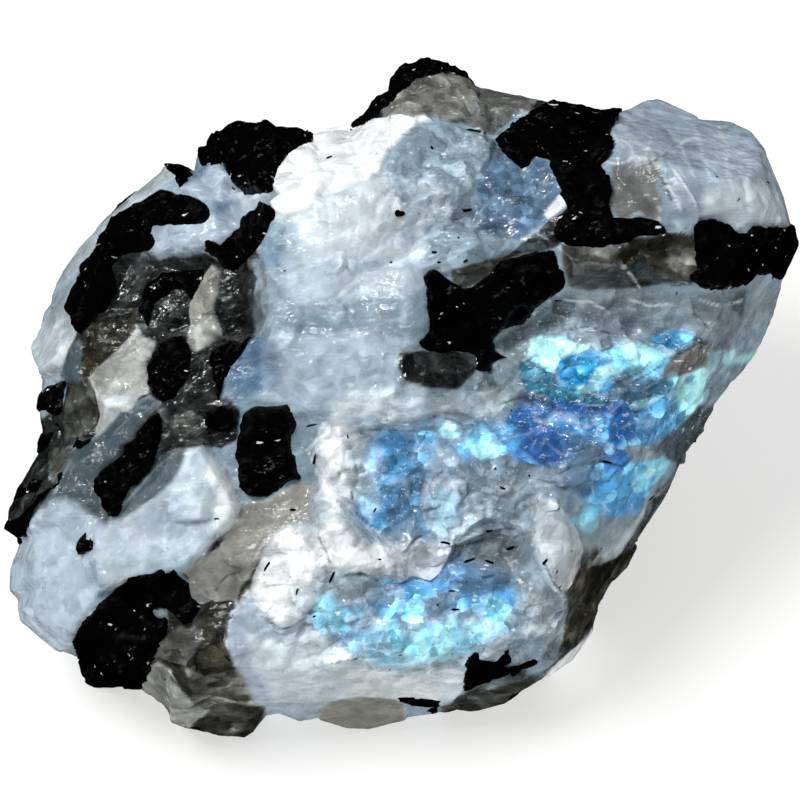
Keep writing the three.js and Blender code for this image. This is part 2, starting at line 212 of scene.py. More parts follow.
def across_face(way):
    """For each direction: the sine of its lean sideways, its angle round the face, and its distance from
    the heart across the face, which is sine^0.86 times the outline's radius, calm inside and true at the
    rim."""
    sideways = np.minimum(1, np.hypot(way[:, 0], way[:, 1]))
    angle = np.arctan2(way[:, 1], way[:, 0])
    rim = blend(smoothstep(0.5, 0.95, sideways), calm_radius(angle), rim_radius(angle))
    return sideways, angle, rim * sideways ** ROUNDNESS


# %% Terraces and swellings
TERRACES = {
    # name: (outline, height in mm, width of its edge in mm)
    "north-east shoulder": ([(505, 120), (560, 95), (700, 85), (810, 120), (810, 285), (700, 292),
        (640, 272), (560, 290), (545, 240), (560, 205)], 2.2, 2.2),
    "milky crown": ([(275, 120), (400, 108), (500, 135), (560, 195), (545, 250), (425, 275), (425, 350),
        (475, 380), (420, 425), (320, 410), (262, 345), (256, 200)], 2.0, 3.0),
    "smoky window": ([(115, 250), (255, 262), (262, 335), (205, 350), (150, 400), (95, 385),
        (85, 330)], -1.5, 2.0),
    "flash basin": ([(355, 430), (430, 415), (475, 480), (540, 505), (520, 560), (420, 572), (370, 540),
        (335, 480)], -1.6, 2.4),
    "flash slope": ([(500, 320), (700, 300), (760, 340), (700, 430), (640, 480), (540, 460),
        (500, 400)], -1.0, 3.0),
    "west wedge": ([(205, 443), (235, 487), (241, 505), (236, 520), (190, 567), (105, 587), (92, 560),
        (103, 530), (158, 475), (176, 447)], 1.6, 1.0),
    "north-east knob": ([(640, 104), (661, 98), (703, 119), (748, 128), (765, 152), (783, 205), (784, 222),
        (752, 220), (712, 214), (660, 222), (640, 208), (620, 180), (620, 130)], 0.9, 1.0),
    "lip west": ([(312, 495), (340, 500), (372, 530), (405, 560), (398, 577), (350, 572),
        (322, 540)], 0.7, 0.7),
    "lip east": ([(530, 500), (565, 520), (582, 560), (570, 595), (548, 585), (530, 545)], 0.7, 0.7),
    "flash plate": ([(540, 335), (590, 330), (665, 345), (700, 372), (708, 405), (660, 410), (610, 380),
        (560, 375)], 0.5, 0.6),
    "lower plate": ([(345, 595), (420, 585), (510, 600), (520, 635), (440, 660), (360, 640)], 0.5, 0.6),
}

SWELLINGS = [
    # middle u, v, half-width, half-height, degrees turned clockwise, height in mm
    (330, 200, 95, 80, 20, 1.6),
    (705, 165, 85, 75, 0, 1.8),
    (215, 668, 62, 75, 0, 1.8),
    (345, 535, 40, 52, -20, 1.4),
    (555, 545, 40, 58, 20, 1.4),
    (450, 300, 70, 60, 0, 0.8),
]


def ellipse_reach(u, v, across, along, turn, x, y):
    """How far each point lies from an ellipse's middle, 1 on its rim. It is turned anticlockwise."""
    middle_x, middle_y = on_face((u, v))
    cosine, sine = math.cos(math.radians(turn)), math.sin(math.radians(turn))
    right = (cosine * (x - middle_x) + sine * (y - middle_y)) / (across * UNIT)
    up = (cosine * (y - middle_y) - sine * (x - middle_x)) / (along * UNIT)
    return np.hypot(right, up)


def face_relief(x, y):
    """Sum of the terraces, each a step at its outline, and the swellings, each a soft dome."""
    height = np.zeros(x.shape)
    for outline, rise, edge in TERRACES.values():
        height += rise * smoothstep(-edge / 2, edge / 2, inset(outline, x, y))
    for u, v, across, along, turn, rise in SWELLINGS:
        height += rise * (1 - smoothstep(0.2, 1.2, ellipse_reach(u, v, across, along, -turn, x, y)))
    return height


def body(way):
    """Point for each unit direction before the stone is broken, in mm: across the face as above, and out
    of it the depth times cosine^0.74, with the rim's waves and the face's relief."""
    sideways, angle, radius = across_face(way)
    x, y = radius * np.cos(angle), radius * np.sin(angle)
    front = way[:, 2] > 0
    w = np.where(front, FRONT_DEPTH, -BACK_DEPTH) * np.abs(way[:, 2]) ** FLATNESS
    w = w + rim_wave(angle) * sideways ** 2
    w = w + np.where(front, face_relief(x, y) * smoothstep(0, 0.5, way[:, 2]), 0)
    return np.stack([x, y, w], axis=1)


# %% [markdown]
# ## Broken facets
# Feldspar splits along flat planes, and where it doesn't split it breaks in shells. Cutting a mesh with
# hundreds of planes would be slow and could tear it. Here every point just asks which facet is nearest
# and takes that facet's tilted plane as its height: large facets first, then plates, chips and crumbs.

# %% Large facets
CHIP_COUNT = 120
CHIP_STEP = 0.9  # mm between neighbours
CHIP_LEAN = 0.22 * stone_width
CHIP_BORDER = 0.02


def scatter(index, salt):
    """A repeatable pseudo-random number in 0..1: the fraction of a large multiple of a sine."""
    value = np.sin(index * 12.9898 + salt * 78.233) * 43758.5453
    return value - np.floor(value)


def chip_height(way):
    """Height of the large facets: the nearest one's tilted plane, run into the next one's at the border.
    Their middles lie on a sunflower's spiral over the ball, each a golden angle round from the last."""
    index = np.arange(CHIP_COUNT)
    level = 1 - (2 * index + 1) / CHIP_COUNT
    angle = index * math.pi * (3 - math.sqrt(5)) + 0.9 * scatter(index, 1)
    ring = np.sqrt(1 - level ** 2)
    middle = np.stack([ring * np.cos(angle), ring * np.sin(angle), level], axis=1)
    lean = np.stack([scatter(index, salt) - 0.5 for salt in (3, 4, 5)], axis=1)
    reach = way @ middle.T
    first, second = np.argsort(-reach, axis=1)[:, :2].T
    row = np.arange(len(way))

    def plane(chip):
        return CHIP_STEP * (scatter(chip, 2) - 0.5) + CHIP_LEAN * ((way - middle[chip]) * lean[chip]).sum(1)

    share = 0.5 + 0.5 * smoothstep(0, CHIP_BORDER, reach[row, first] - reach[row, second])
    return blend(share, plane(second), plane(first))


# %% Smaller facets
FACETS = {
    # kind: (size in mm, step between neighbours in mm, lean, border in cells, salt)
    "plate": (3.6, 0.50, 0.24, 0.08, 1),
    "chip": (1.6, 0.26, 0.42, 0.10, 2),
    "crumb": (0.75, 0.10, 0.50, 0.16, 3),
    "splinter": (2.8, 0.30, 0.20, 0.10, 4),
    "fray": (0.8, 0.35, 0.5, 0.25, 7),
    "fine fray": (0.35, 0.16, 0.4, 0.3, 8),
    "crystal": (1.9, 0.24, 0.40, 0.1, 11),
    "fine crystal": (0.6, 0.06, 0.40, 0.15, 12),
}
GRAIN = np.array([[0.90, 0.30, -0.32], [-0.28, 0.95, 0.10], [0.33, 0.00, 0.94]]) * [[0.8], [1.15], [1.0]]
CELL_KEY = [127.1, 311.7, 74.7]  # makes one number of a grid cell's three


def facets(place, kind):
    """Facets from one seed in each cell of a grid in space: each point takes its nearest seed's tilted
    plane. The grid is stretched along the grain, so that facets run the way that feldspar cleaves.
    Returns the height, a random value for each facet and the distance to its border in cells."""
    size, step, lean, border, salt = FACETS[kind]
    grid = place @ GRAIN.T / size
    corner = np.round(grid)
    near, far = np.full((2, len(place)), np.inf)
    height, other, value = np.zeros((3, len(place)))
    for shift in np.ndindex(2, 2, 2):
        spot = corner - shift
        key = spot @ CELL_KEY
        jitter = np.stack([scatter(key, salt + turn) - 0.5 for turn in (0.11, 0.37, 0.73)], axis=1)
        tilt = np.stack([scatter(key, salt + turn) - 0.5 for turn in (1.3, 1.7, 2.9)], axis=1)
        offset = grid - (spot + 0.5 + 0.62 * jitter)
        gap = (offset ** 2).sum(1)
        plane = step * (scatter(key, salt + 4.1) - 0.5) + lean * size * (offset * tilt).sum(1)
        closer = gap < near
        between = ~closer & (gap < far)
        far = np.where(closer, near, np.where(between, gap, far))
        other = np.where(closer, height, np.where(between, plane, other))
        near = np.where(closer, gap, near)
        height = np.where(closer, plane, height)
        value = np.where(closer, scatter(key, salt + 6.3), value)
    rim = np.sqrt(far) - np.sqrt(near)
    return blend(0.5 + 0.5 * smoothstep(0, border, rim), other, height), value, rim


# %% Clouds
def cloud(place, size, octaves, salt):
    """Soft noise in 0..1: values on a grid, blended smoothly between its corners, summed over octaves
    of half the size and half the strength."""
    total, weight = np.zeros(len(place)), 0
    for octave in range(octaves):
        grid = place / size * 2 ** octave
        cell = np.floor(grid)
        part = grid - cell
        part = part * part * (3 - 2 * part)
        layer = np.zeros(len(place))
        for shift in np.ndindex(2, 2, 2):
            share = np.prod(np.where(shift, part, 1 - part), axis=1)
            layer += share * scatter((cell + shift) @ CELL_KEY, salt + octave)
        total += layer / 2 ** octave
        weight += 1 / 2 ** octave
    return total / weight


# %% Where the skin is crumbly
CRUMBLY = [
    # middle u, v, half-width, half-height, degrees turned anticlockwise, strength
    (600, 380, 150, 90, 0, 1.0),
    (440, 480, 120, 110, 0, 1.0),
    (430, 620, 150, 60, 0, 1.0),
    (480, 190, 100, 80, 0, 0.8),
    (180, 320, 90, 80, 0, 0.6),
    (290, 560, 60, 60, 0, 0.6),
    (430, 100, 60, 30, 0, 0.7),
]


def soft_patches(patches, x, y):
    """The strongest of several soft ellipses at each place: full inside half its size, gone by 1.3."""
    field = np.zeros(x.shape)
    for *ellipse, strength in patches:
        field = np.maximum(field, strength * (1 - smoothstep(0.5, 1.3, ellipse_reach(*ellipse, x, y))))
    return field


# %% Cleavage planes
CLEAVAGES = [
    # degrees round the face from +x, degrees out of its plane towards the front, distance in mm
    (-28.6, 22, 18.6),
    (77, 20, 23.2),
    (152, 22, 23.2),
    (-84, 26, 20.6),
    (70, -78, 12.8),
    (-4, -42, 19.8),
    (168, -38, 21.0),
    (100, -36, 18.6),
    (48, -34, 25.2),
]


def cleave(point):
    """Pulls what reaches past a cleavage plane back onto it, towards the heart. Returns the points, and
    for each one whether it was pulled, from 0 to 1."""
    cut = np.ones(len(point))
    for around, outward, distance in CLEAVAGES:
        turn, rise = math.radians(around), math.radians(outward)
        flat = math.cos(rise)
        normal = np.array([flat * math.cos(turn), flat * math.sin(turn), math.sin(rise)])
        reach = cut * (point @ normal)
        cut = cut * (distance / np.maximum(reach, distance))
    return point * cut[:, None], smoothstep(1, 0.985, cut)


# %% The skin as a function of direction
def skin(way, ledge):
    """Skin point for each unit direction, in mm: the body, moved outwards by the large facets, by the
    panes' ledges, by the plates, and by chips and crumbs where it is crumbly. Then it is cleaved, and the
    cleaved planes get splinters. Returns the points, and their facets' random values and borders."""
    point = body(way)
    front = way[:, 2] > 0
    crumbly = soft_patches(CRUMBLY, point[:, 0], point[:, 1])
    crumble = np.where(front, 0.35 + 0.65 * crumbly, 0.7)
    chipping = chip_height(way) * np.where(front, 0.5, 1) * smoothstep(0, 0.3, np.abs(way[:, 2]))
    point = point + way * chipping[:, None]
    off_rim = 0.25 + 0.75 * smoothstep(0, 0.35, np.abs(way[:, 2]))
    bent = point + 0.9 * np.stack([cloud(point, 2.2, 2, salt) - 0.5 for salt in (21, 22, 23)], axis=1)
    plate, _, plate_rim = facets(bent, "plate")
    chip, chip_value, chip_rim = facets(bent, "chip")
    crumb, crumb_value, _ = facets(bent, "crumb")
    point = point + way * (ledge + (plate + crumble * (chip + crumb)) * off_rim)[:, None]
    point, cleaved = cleave(point)
    splinter, splinter_value, splinter_rim = facets(point, "splinter")
    point = point + way * (splinter * cleaved)[:, None]
    marks = {"plate_rim": blend(cleaved, plate_rim, splinter_rim),
             "chip_rim": blend(cleaved, chip_rim, splinter_rim),
             "chip": blend(cleaved, chip_value, splinter_value),
             "crumb": blend(cleaved, crumb_value, 0.5)}
    return point, marks


# %% Standing the stone up
def to_rest(point):
    """From the face's frame to the resting frame: the face leans back from upright by 50 degrees."""
    sine, cosine = math.sin(FACE_TILT), math.cos(FACE_TILT)
    x, y, w = point.T
    return np.stack([x, y * sine - w * cosine, y * cosine + w * sine], axis=1)


def stand(point):
    """Flattens what lies below the resting face: the point slides towards the heart onto the plane."""
    return point * (BASE_LEVEL / np.minimum(point[:, 2], BASE_LEVEL))[:, None]


# %% [markdown]
# ## Where each kind of crystal shows
# What is drawn on the sheet has to be found again on the skin. On the face, a point's place is where it
# is seen from the front. Past the rim, a point lies beyond the outline by as much as it has gone round,
# so a crystal drawn across the outline wraps over the side. The back also has a sheet of its own.

# %% Places on the sheet
def front_sheet(way, point):
    """Sheet place of each point of the skin, in mm: on the front half where it is seen from the view's
    distance, on the back half past the outline by as much as its direction has gone round."""
    _, angle, radius = across_face(way)
    radius = np.where(way[:, 2] > 0, radius, 2 * rim_radius(angle) - radius)
    share = smoothstep(0, 0.25, way[:, 2])
    nearer = VIEW_DISTANCE / (VIEW_DISTANCE - point[:, 2]) / MARGIN
    x = blend(share, radius * np.cos(angle), point[:, 0] * nearer)
    y = blend(share, radius * np.sin(angle), point[:, 1] * nearer)
    return x, y


def back_sheet(way):
    """Place on the back's sheet, in mm, and how far inside the back's rim it lies."""
    _, angle, radius = across_face(way)
    room = np.where(way[:, 2] < 0, rim_radius(angle) - radius, -REACH)
    return radius * np.cos(angle), radius * np.sin(angle), room


# %% [markdown]
# ## Panes
# Here and there the feldspar split off clean, and the break shows as one pane with a crisp border: a
# white shelf, a slab of smoky glass, a bright flake of flash. Noise could never put a pane in its place,
# so each is drawn one by one, with its tone, how strong it is and the height of its ledge. Later panes lie
# over earlier ones, and a "clear" one lets the plain feldspar show again.

# %% Panes
PANES = {
    # name: (tone, share, height of its ledge in mm, outline on the sheet)
    "west strip": ("ivory", 0.4, 0.0, [(163, 163), (175, 178), (160, 188), (140, 200), (110, 219),
        (98, 236), (80, 261), (70, 282), (67, 300), (71, 325), (80, 335), (72, 345), (64, 360), (60, 380),
        (40, 380), (20, 350), (20, 330), (30, 310), (45, 275), (70, 242), (100, 208), (135, 184)]),
    "strip shade": ("slate", 0.8, 0.0, [(26, 318), (36, 288), (52, 268), (72, 260), (68, 300), (72, 330),
        (56, 326), (40, 320)]),
    "strip foot": ("frost", 0.3, 0.0, [(24, 322), (46, 324), (70, 334), (72, 346), (62, 364), (40, 372),
        (26, 350), (22, 336)]),
    "west shadow": ("smoke", 1.0, 0.0, [(80, 326), (100, 300), (112, 256), (150, 245), (160, 262),
        (222, 264), (255, 246), (268, 272), (268, 330), (238, 345), (224, 385), (222, 402), (240, 410),
        (238, 440), (222, 448), (184, 446), (152, 472), (122, 504), (108, 518), (95, 492), (106, 468),
        (122, 448), (137, 440), (150, 414), (160, 403), (150, 396), (120, 412), (94, 440), (66, 442),
        (62, 420), (66, 382), (62, 376), (68, 350)]),
    "west grey": ("storm", 1.0, 0.1, [(72, 345), (80, 338), (86, 348), (84, 368), (76, 384), (66, 384),
        (62, 370)]),
    "umber slope": ("umber", 1.0, 0.05, [(84, 330), (105, 316), (136, 310), (140, 325), (128, 338),
        (114, 352), (100, 365), (90, 378), (80, 380), (84, 352)]),
    "umber foot": ("dusk", 1.0, 0.1, [(84, 376), (90, 378), (94, 392), (100, 412), (96, 428), (80, 436),
        (66, 440), (64, 420), (66, 396), (74, 384)]),
    "far west edge": ("smoke", 1.0, 0.0, [(4, 528), (10, 505), (24, 488), (36, 462), (50, 440), (62, 440),
        (68, 462), (54, 488), (42, 506), (24, 530)]),
    "far west glass": ("dusk", 1.0, 0.1, [(50, 452), (64, 444), (76, 448), (72, 466), (60, 484),
        (50, 478)]),
    "dark shelf": ("smoke", 1.0, -0.1, [(112, 256), (143, 254), (158, 259), (175, 254), (205, 252),
        (222, 262), (240, 270), (252, 262), (264, 272), (266, 290), (268, 320), (262, 334), (228, 340),
        (222, 330), (215, 308), (219, 290), (219, 270), (212, 264), (204, 274), (196, 290), (190, 302),
        (178, 290), (170, 292), (160, 300), (150, 306), (150, 318), (145, 330), (138, 322), (136, 310),
        (120, 312), (100, 320), (88, 328), (80, 322), (100, 312), (112, 292)]),
    "dark pillar": ("smoke", 1.0, 0.2, [(222, 268), (240, 272), (254, 264), (266, 290), (268, 320),
        (262, 334), (228, 339), (221, 325), (215, 308), (219, 290)]),
    "pillar haze": ("slate", 0.5, 0.0, [(256, 256), (274, 264), (284, 286), (284, 312), (272, 336),
        (254, 340)]),
    "grey glass": ("smoke", 0.7, 0.1, [(152, 320), (156, 306), (170, 293), (186, 302), (194, 315),
        (192, 334), (178, 333), (168, 335), (158, 342), (150, 336), (146, 330)]),
    "grey tooth": ("sand", 1.0, 0.2, [(190, 304), (197, 292), (205, 275), (212, 266), (220, 272),
        (218, 292), (213, 308), (218, 322), (222, 334), (208, 345), (196, 352), (188, 342), (192, 325)]),
    "grey tooth root": ("ivory", 0.5, 0.1, [(196, 330), (206, 316), (214, 318), (221, 334), (208, 344),
        (198, 350)]),
    "pale window": ("ivory", 0.75, 0.2, [(138, 328), (144, 338), (157, 342), (152, 352), (146, 367),
        (148, 382), (150, 394), (141, 396), (130, 412), (121, 411), (110, 425), (100, 437), (94, 440),
        (97, 428), (101, 415), (96, 392), (90, 378), (100, 366), (116, 352), (130, 338)]),
    "window dusk": ("ash", 0.6, 0.0, [(96, 368), (120, 348), (131, 338), (132, 352), (118, 374), (106, 394),
        (98, 388)]),
    "window bloom": ("frost", 0.8, 0.1, [(106, 400), (120, 392), (140, 390), (130, 406), (118, 408),
        (106, 418)]),
    "slate ridge": ("storm", 1.0, 0.2, [(150, 396), (160, 403), (150, 414), (140, 428), (136, 440),
        (122, 446), (120, 456), (104, 468), (94, 480), (98, 500), (108, 514), (104, 522), (92, 518),
        (80, 506), (68, 498), (52, 502), (40, 508), (52, 490), (66, 468), (72, 452), (84, 440), (100, 436),
        (112, 424), (122, 411), (131, 412), (141, 398)]),
    "dark knot": ("smoke", 0.96, 0.1, [(188, 345), (196, 354), (206, 362), (212, 388), (213, 402),
        (222, 402), (235, 408), (240, 414), (236, 425), (224, 436), (205, 444), (185, 441), (172, 446),
        (160, 440), (162, 425), (166, 405), (180, 395), (190, 372)]),
    "dark knot face": ("dusk", 0.7, 0.1, [(176, 418), (190, 412), (204, 418), (204, 430), (192, 438),
        (178, 434)]),
    "south-west face": ("lavender", 1.0, 0.25, [(35, 520), (52, 502), (68, 498), (82, 508), (105, 524),
        (104, 535), (100, 542), (95, 550), (92, 562), (97, 580), (103, 590), (100, 598), (88, 612),
        (80, 625), (74, 640), (60, 652), (20, 620), (18, 598), (10, 590), (12, 560), (22, 535)]),
    "wedge": ("frost", 0.65, 0.0, [(205, 443), (235, 487), (241, 505), (236, 520), (190, 567), (105, 587),
        (92, 560), (103, 530), (158, 475), (176, 447)]),
    "wedge fold": ("lavender", 0.9, 0.0, [(150, 500), (168, 488), (182, 498), (190, 512), (180, 528),
        (158, 540), (138, 536), (132, 520)]),
    "wedge edge": ("milk", 0.6, 0.0, [(210, 455), (226, 476), (235, 487), (241, 505), (236, 520),
        (222, 534), (212, 524), (218, 500), (206, 476)]),
    "wedge foot": ("clear", 0.7, 0.0, [(128, 580), (150, 562), (185, 552), (196, 558), (190, 568),
        (158, 576)]),
    "wedge shade": ("storm", 0.95, 0.0, [(160, 438), (186, 446), (184, 462), (174, 480), (156, 498),
        (138, 508), (120, 520), (108, 518), (128, 500), (148, 478), (158, 458)]),
    "wedge top": ("smoke", 0.95, 0.0, [(158, 418), (184, 424), (200, 440), (210, 445), (176, 449),
        (160, 456)]),
    "neck": ("sand", 1.0, 0.1, [(245, 502), (266, 500), (284, 490), (300, 482), (318, 488), (310, 500),
        (314, 520), (295, 522), (280, 530), (268, 545), (258, 562), (250, 575), (240, 590), (237, 602),
        (230, 600), (215, 602), (212, 598), (190, 578), (184, 572), (200, 560), (220, 545), (236, 520),
        (243, 506)]),
    "neck ring": ("ash", 0.5, 0.15, [(196, 566), (212, 556), (232, 556), (246, 566), (250, 578), (240, 590),
        (236, 600), (222, 598), (214, 588), (208, 578)]),
    "pebble": ("ash", 0.95, 0.3, [(187, 580), (196, 577), (206, 578), (214, 590), (212, 600), (204, 604),
        (196, 603), (190, 592)]),
    "foot": ("umber", 0.8, 0.0, [(200, 600), (215, 602), (232, 600), (234, 612), (228, 625), (226, 645),
        (234, 662), (243, 680), (252, 700), (264, 718), (262, 760), (245, 780), (205, 780), (165, 750),
        (150, 722), (142, 704), (136, 684), (152, 660), (158, 645), (148, 630), (144, 612), (156, 602),
        (180, 606)]),
    "foot block": ("ash", 0.7, 0.2, [(160, 642), (168, 632), (180, 625), (198, 628), (202, 640), (194, 655),
        (186, 665), (166, 660), (155, 652)]),
    "foot light": ("sand", 0.45, 0.0, [(184, 668), (206, 676), (240, 668), (258, 700), (262, 722),
        (232, 744), (205, 728), (194, 700)]),
    "foot sole": ("smoke", 0.5, 0.0, [(200, 715), (215, 704), (235, 706), (250, 712), (260, 724),
        (250, 745), (220, 745), (200, 735)]),
    "foot heel": ("ivory", 0.75, 0.1, [(138, 672), (158, 662), (170, 668), (182, 690), (195, 704),
        (206, 716), (196, 728), (172, 736), (150, 714)]),
    "south face": ("lavender", 0.95, 0.15, [(237, 602), (250, 592), (262, 605), (285, 628), (300, 620),
        (315, 640), (320, 655), (345, 660), (365, 645), (370, 660), (385, 680), (385, 695), (362, 698),
        (345, 702), (330, 712), (300, 726), (262, 722), (252, 700), (243, 680), (234, 662), (226, 645),
        (228, 625), (234, 612)]),
    "south light": ("frost", 0.9, 0.0, [(252, 632), (280, 640), (318, 630), (345, 652), (368, 688),
        (330, 708), (276, 704), (254, 672)]),
    "crumb bank": ("milk", 0.4, 0.3, [(268, 545), (280, 530), (300, 522), (314, 524), (320, 550),
        (326, 575), (318, 600), (300, 620), (285, 628), (262, 608), (250, 590), (255, 572)]),
    "crown light": ("frost", 0.9, 0.0, [(268, 205), (300, 212), (330, 190), (370, 180), (385, 172),
        (398, 188), (400, 205), (404, 235), (398, 262), (350, 264), (300, 268), (284, 262), (285, 240),
        (280, 225)]),
    "crown edge": ("periwinkle", 0.4, 0.0, [(282, 216), (300, 222), (300, 262), (288, 268), (280, 252),
        (276, 230)]),
    "crown slope": ("lavender", 1.0, 0.0, [(285, 268), (300, 266), (350, 264), (400, 262), (422, 266),
        (426, 290), (400, 302), (370, 300), (340, 310), (305, 306), (285, 290)]),
    "slope light": ("frost", 0.5, 0.0, [(292, 264), (340, 260), (396, 262), (410, 276), (392, 294),
        (350, 296), (308, 300), (290, 284)]),
    "crown fold": ("clear", 0.6, -0.1, [(300, 306), (340, 308), (372, 300), (402, 300), (428, 306),
        (428, 330), (418, 342), (380, 328), (340, 332), (300, 328)]),
    "crown foot": ("lavender", 1.0, 0.1, [(268, 336), (320, 334), (380, 328), (414, 344), (400, 352),
        (398, 368), (405, 380), (395, 398), (345, 412), (300, 408), (286, 404), (262, 404), (262, 360)]),
    "crown toe": ("frost", 0.8, 0.0, [(350, 394), (372, 386), (394, 390), (390, 408), (368, 418),
        (348, 410)]),
    "crown hollow": ("periwinkle", 0.6, 0.0, [(228, 376), (240, 352), (262, 338), (276, 345), (284, 362),
        (282, 385), (262, 396), (240, 402), (226, 400)]),
    "white crown": ("milk", 1.0, 0.35, [(312, 138), (330, 130), (350, 130), (362, 122), (385, 120),
        (400, 116), (414, 120), (425, 118), (432, 122), (415, 128), (408, 136), (400, 143), (390, 150),
        (386, 162), (380, 172), (370, 179), (358, 176), (345, 173), (335, 175), (328, 182), (322, 192),
        (316, 200), (308, 210), (298, 214), (286, 216), (274, 212), (270, 203), (280, 196), (272, 186),
        (272, 175), (280, 160), (284, 152), (298, 146)]),
    "north lobe": ("sand", 0.7, 0.3, [(380, 112), (390, 102), (400, 92), (410, 85), (425, 75), (440, 73),
        (455, 72), (466, 78), (478, 92), (477, 105), (470, 115), (460, 120), (445, 121), (432, 118),
        (415, 120), (400, 115), (388, 120)]),
    "north ledge": ("ash", 0.85, 0.1, [(478, 86), (500, 84), (545, 90), (530, 108), (518, 112), (510, 118),
        (500, 126), (490, 136), (480, 132), (468, 124), (461, 118), (470, 112), (478, 104)]),
    "blue dome": ("clear", 1.0, 0.2, [(415, 128), (432, 122), (448, 124), (462, 130), (480, 136),
        (494, 142), (490, 160), (478, 175), (472, 190), (462, 200), (448, 205), (425, 200), (405, 190),
        (392, 180), (384, 168), (388, 155), (400, 143)]),
    "dome shade": ("slate", 0.6, 0.0, [(470, 134), (494, 142), (490, 160), (478, 178), (472, 200),
        (458, 222), (442, 218), (455, 200), (466, 180), (466, 155)]),
    "dome light": ("frost", 0.5, 0.0, [(404, 182), (424, 180), (442, 184), (450, 196), (448, 208),
        (442, 218), (424, 222), (408, 208)]),
    "blue fan": ("periwinkle", 1.0, -0.15, [(494, 142), (504, 150), (512, 160), (525, 166), (534, 158),
        (540, 155), (550, 165), (556, 180), (562, 194), (558, 205), (548, 216), (538, 228), (520, 240),
        (500, 236), (490, 222), (485, 205), (478, 190), (482, 170), (490, 158)]),
    "pale tooth": ("milk", 0.8, 0.2, [(566, 200), (560, 194), (552, 204), (545, 214), (548, 219),
        (560, 211), (572, 203)]),
    "blue shoulder": ("clear", 1.0, 0.1, [(395, 228), (410, 222), (430, 228), (460, 232), (490, 236),
        (510, 240), (516, 250), (500, 258), (480, 262), (465, 270), (450, 268), (437, 258), (425, 262),
        (418, 250), (405, 240)]),
    "shoulder light": ("frost", 0.6, 0.0, [(386, 222), (404, 216), (420, 200), (436, 196), (448, 204),
        (446, 216), (424, 226), (430, 252), (404, 262), (388, 258)]),
    "slab collar": ("dusk", 1.0, 0.0, [(450, 270), (470, 264), (500, 257), (520, 250), (500, 268),
        (488, 278), (470, 288), (460, 290), (452, 282)]),
    "smoky sill": ("smoke", 0.95, 0.1, [(560, 214), (572, 220), (560, 228), (562, 244), (553, 250),
        (530, 254), (508, 257), (520, 244), (538, 230), (548, 220)]),
    "window slope": ("lavender", 1.0, 0.2, [(177, 188), (185, 178), (200, 170), (210, 165), (222, 164),
        (232, 180), (240, 193), (225, 197), (215, 206), (208, 212), (206, 202), (196, 196), (185, 193)]),
    "window shade": ("periwinkle", 0.8, -0.1, [(178, 186), (188, 173), (203, 165), (210, 166), (202, 176),
        (186, 187)]),
    "blue shelf": ("lavender", 0.95, 0.1, [(150, 224), (160, 221), (180, 224), (200, 222), (212, 208),
        (222, 200), (232, 199), (243, 205), (252, 205), (249, 214), (240, 220), (240, 228), (230, 236),
        (222, 238), (219, 245), (205, 241), (203, 249), (188, 253), (170, 253), (158, 258), (143, 253),
        (153, 247), (150, 235)]),
    "shelf shade": ("periwinkle", 0.8, 0.0, [(210, 214), (216, 204), (228, 200), (240, 204), (230, 212),
        (220, 216)]),
    "bright strip": ("frost", 0.8, 0.3, [(240, 193), (262, 192), (271, 196), (262, 199), (250, 204),
        (243, 206), (236, 200), (228, 197)]),
    "olive glass": ("umber", 0.85, 0.1, [(620, 246), (640, 238), (668, 232), (690, 236), (697, 242),
        (700, 262), (694, 272), (690, 284), (665, 284), (640, 288), (630, 275), (618, 262)]),
    "grey sill": ("dusk", 0.85, 0.0, [(560, 243), (580, 247), (620, 246), (618, 262), (630, 275),
        (640, 288), (610, 290), (590, 292), (567, 287), (562, 268)]),
    "sill streak": ("ash", 0.5, 0.1, [(664, 250), (680, 246), (696, 250), (698, 266), (690, 280),
        (672, 272)]),
    "knob cheek": ("ash", 0.95, -0.1, [(612, 166), (624, 156), (640, 160), (652, 156), (660, 172),
        (656, 186), (662, 202), (654, 220), (640, 212), (622, 222), (610, 205), (610, 190), (613, 178)]),
    "cheek frost": ("frost", 0.6, 0.1, [(618, 128), (636, 132), (650, 144), (664, 140), (658, 152),
        (642, 158), (626, 150), (616, 142)]),
    "knob crown": ("lavender", 0.7, 0.15, [(612, 160), (610, 140), (616, 115), (640, 100), (660, 90),
        (685, 95), (700, 112), (698, 136), (680, 142), (662, 158), (645, 160), (625, 162)]),
    "knob face": ("lavender", 0.9, 0.1, [(697, 125), (720, 120), (745, 126), (765, 150), (780, 190),
        (788, 224), (752, 222), (735, 232), (712, 216), (700, 214), (704, 180), (700, 150)]),
    "knob foot": ("frost", 0.7, 0.0, [(704, 190), (740, 182), (780, 192), (788, 222), (755, 222),
        (746, 234), (735, 230), (712, 216), (702, 218)]),
    "knob shade": ("slate", 0.6, -0.1, [(680, 145), (697, 143), (702, 165), (707, 195), (700, 205),
        (692, 192), (682, 168)]),
    "knob prism": ("frost", 0.2, 0.3, [(660, 165), (668, 162), (682, 180), (697, 205), (698, 230),
        (685, 235), (672, 232), (656, 218), (656, 202), (664, 190)]),
    "slate band": ("slate", 1.0, 0.0, [(566, 292), (600, 292), (640, 290), (690, 286), (735, 290),
        (752, 284), (775, 274), (786, 290), (784, 312), (768, 335), (745, 350), (700, 338), (664, 328),
        (620, 336), (585, 338), (550, 330), (530, 322), (545, 305)]),
    "band west": ("storm", 0.7, -0.1, [(530, 318), (548, 304), (566, 294), (580, 300), (572, 318),
        (552, 330), (535, 336), (505, 352), (500, 340), (512, 326)]),
    "band east": ("storm", 0.8, 0.0, [(735, 292), (752, 286), (764, 296), (760, 312), (742, 318),
        (728, 306)]),
    "band middle": ("storm", 0.3, 0.0, [(580, 318), (590, 300), (640, 296), (700, 292), (740, 298),
        (728, 328), (664, 322), (600, 332)]),
    "band low east": ("storm", 0.3, 0.0, [(690, 340), (716, 330), (740, 334), (744, 350), (724, 362),
        (704, 352)]),
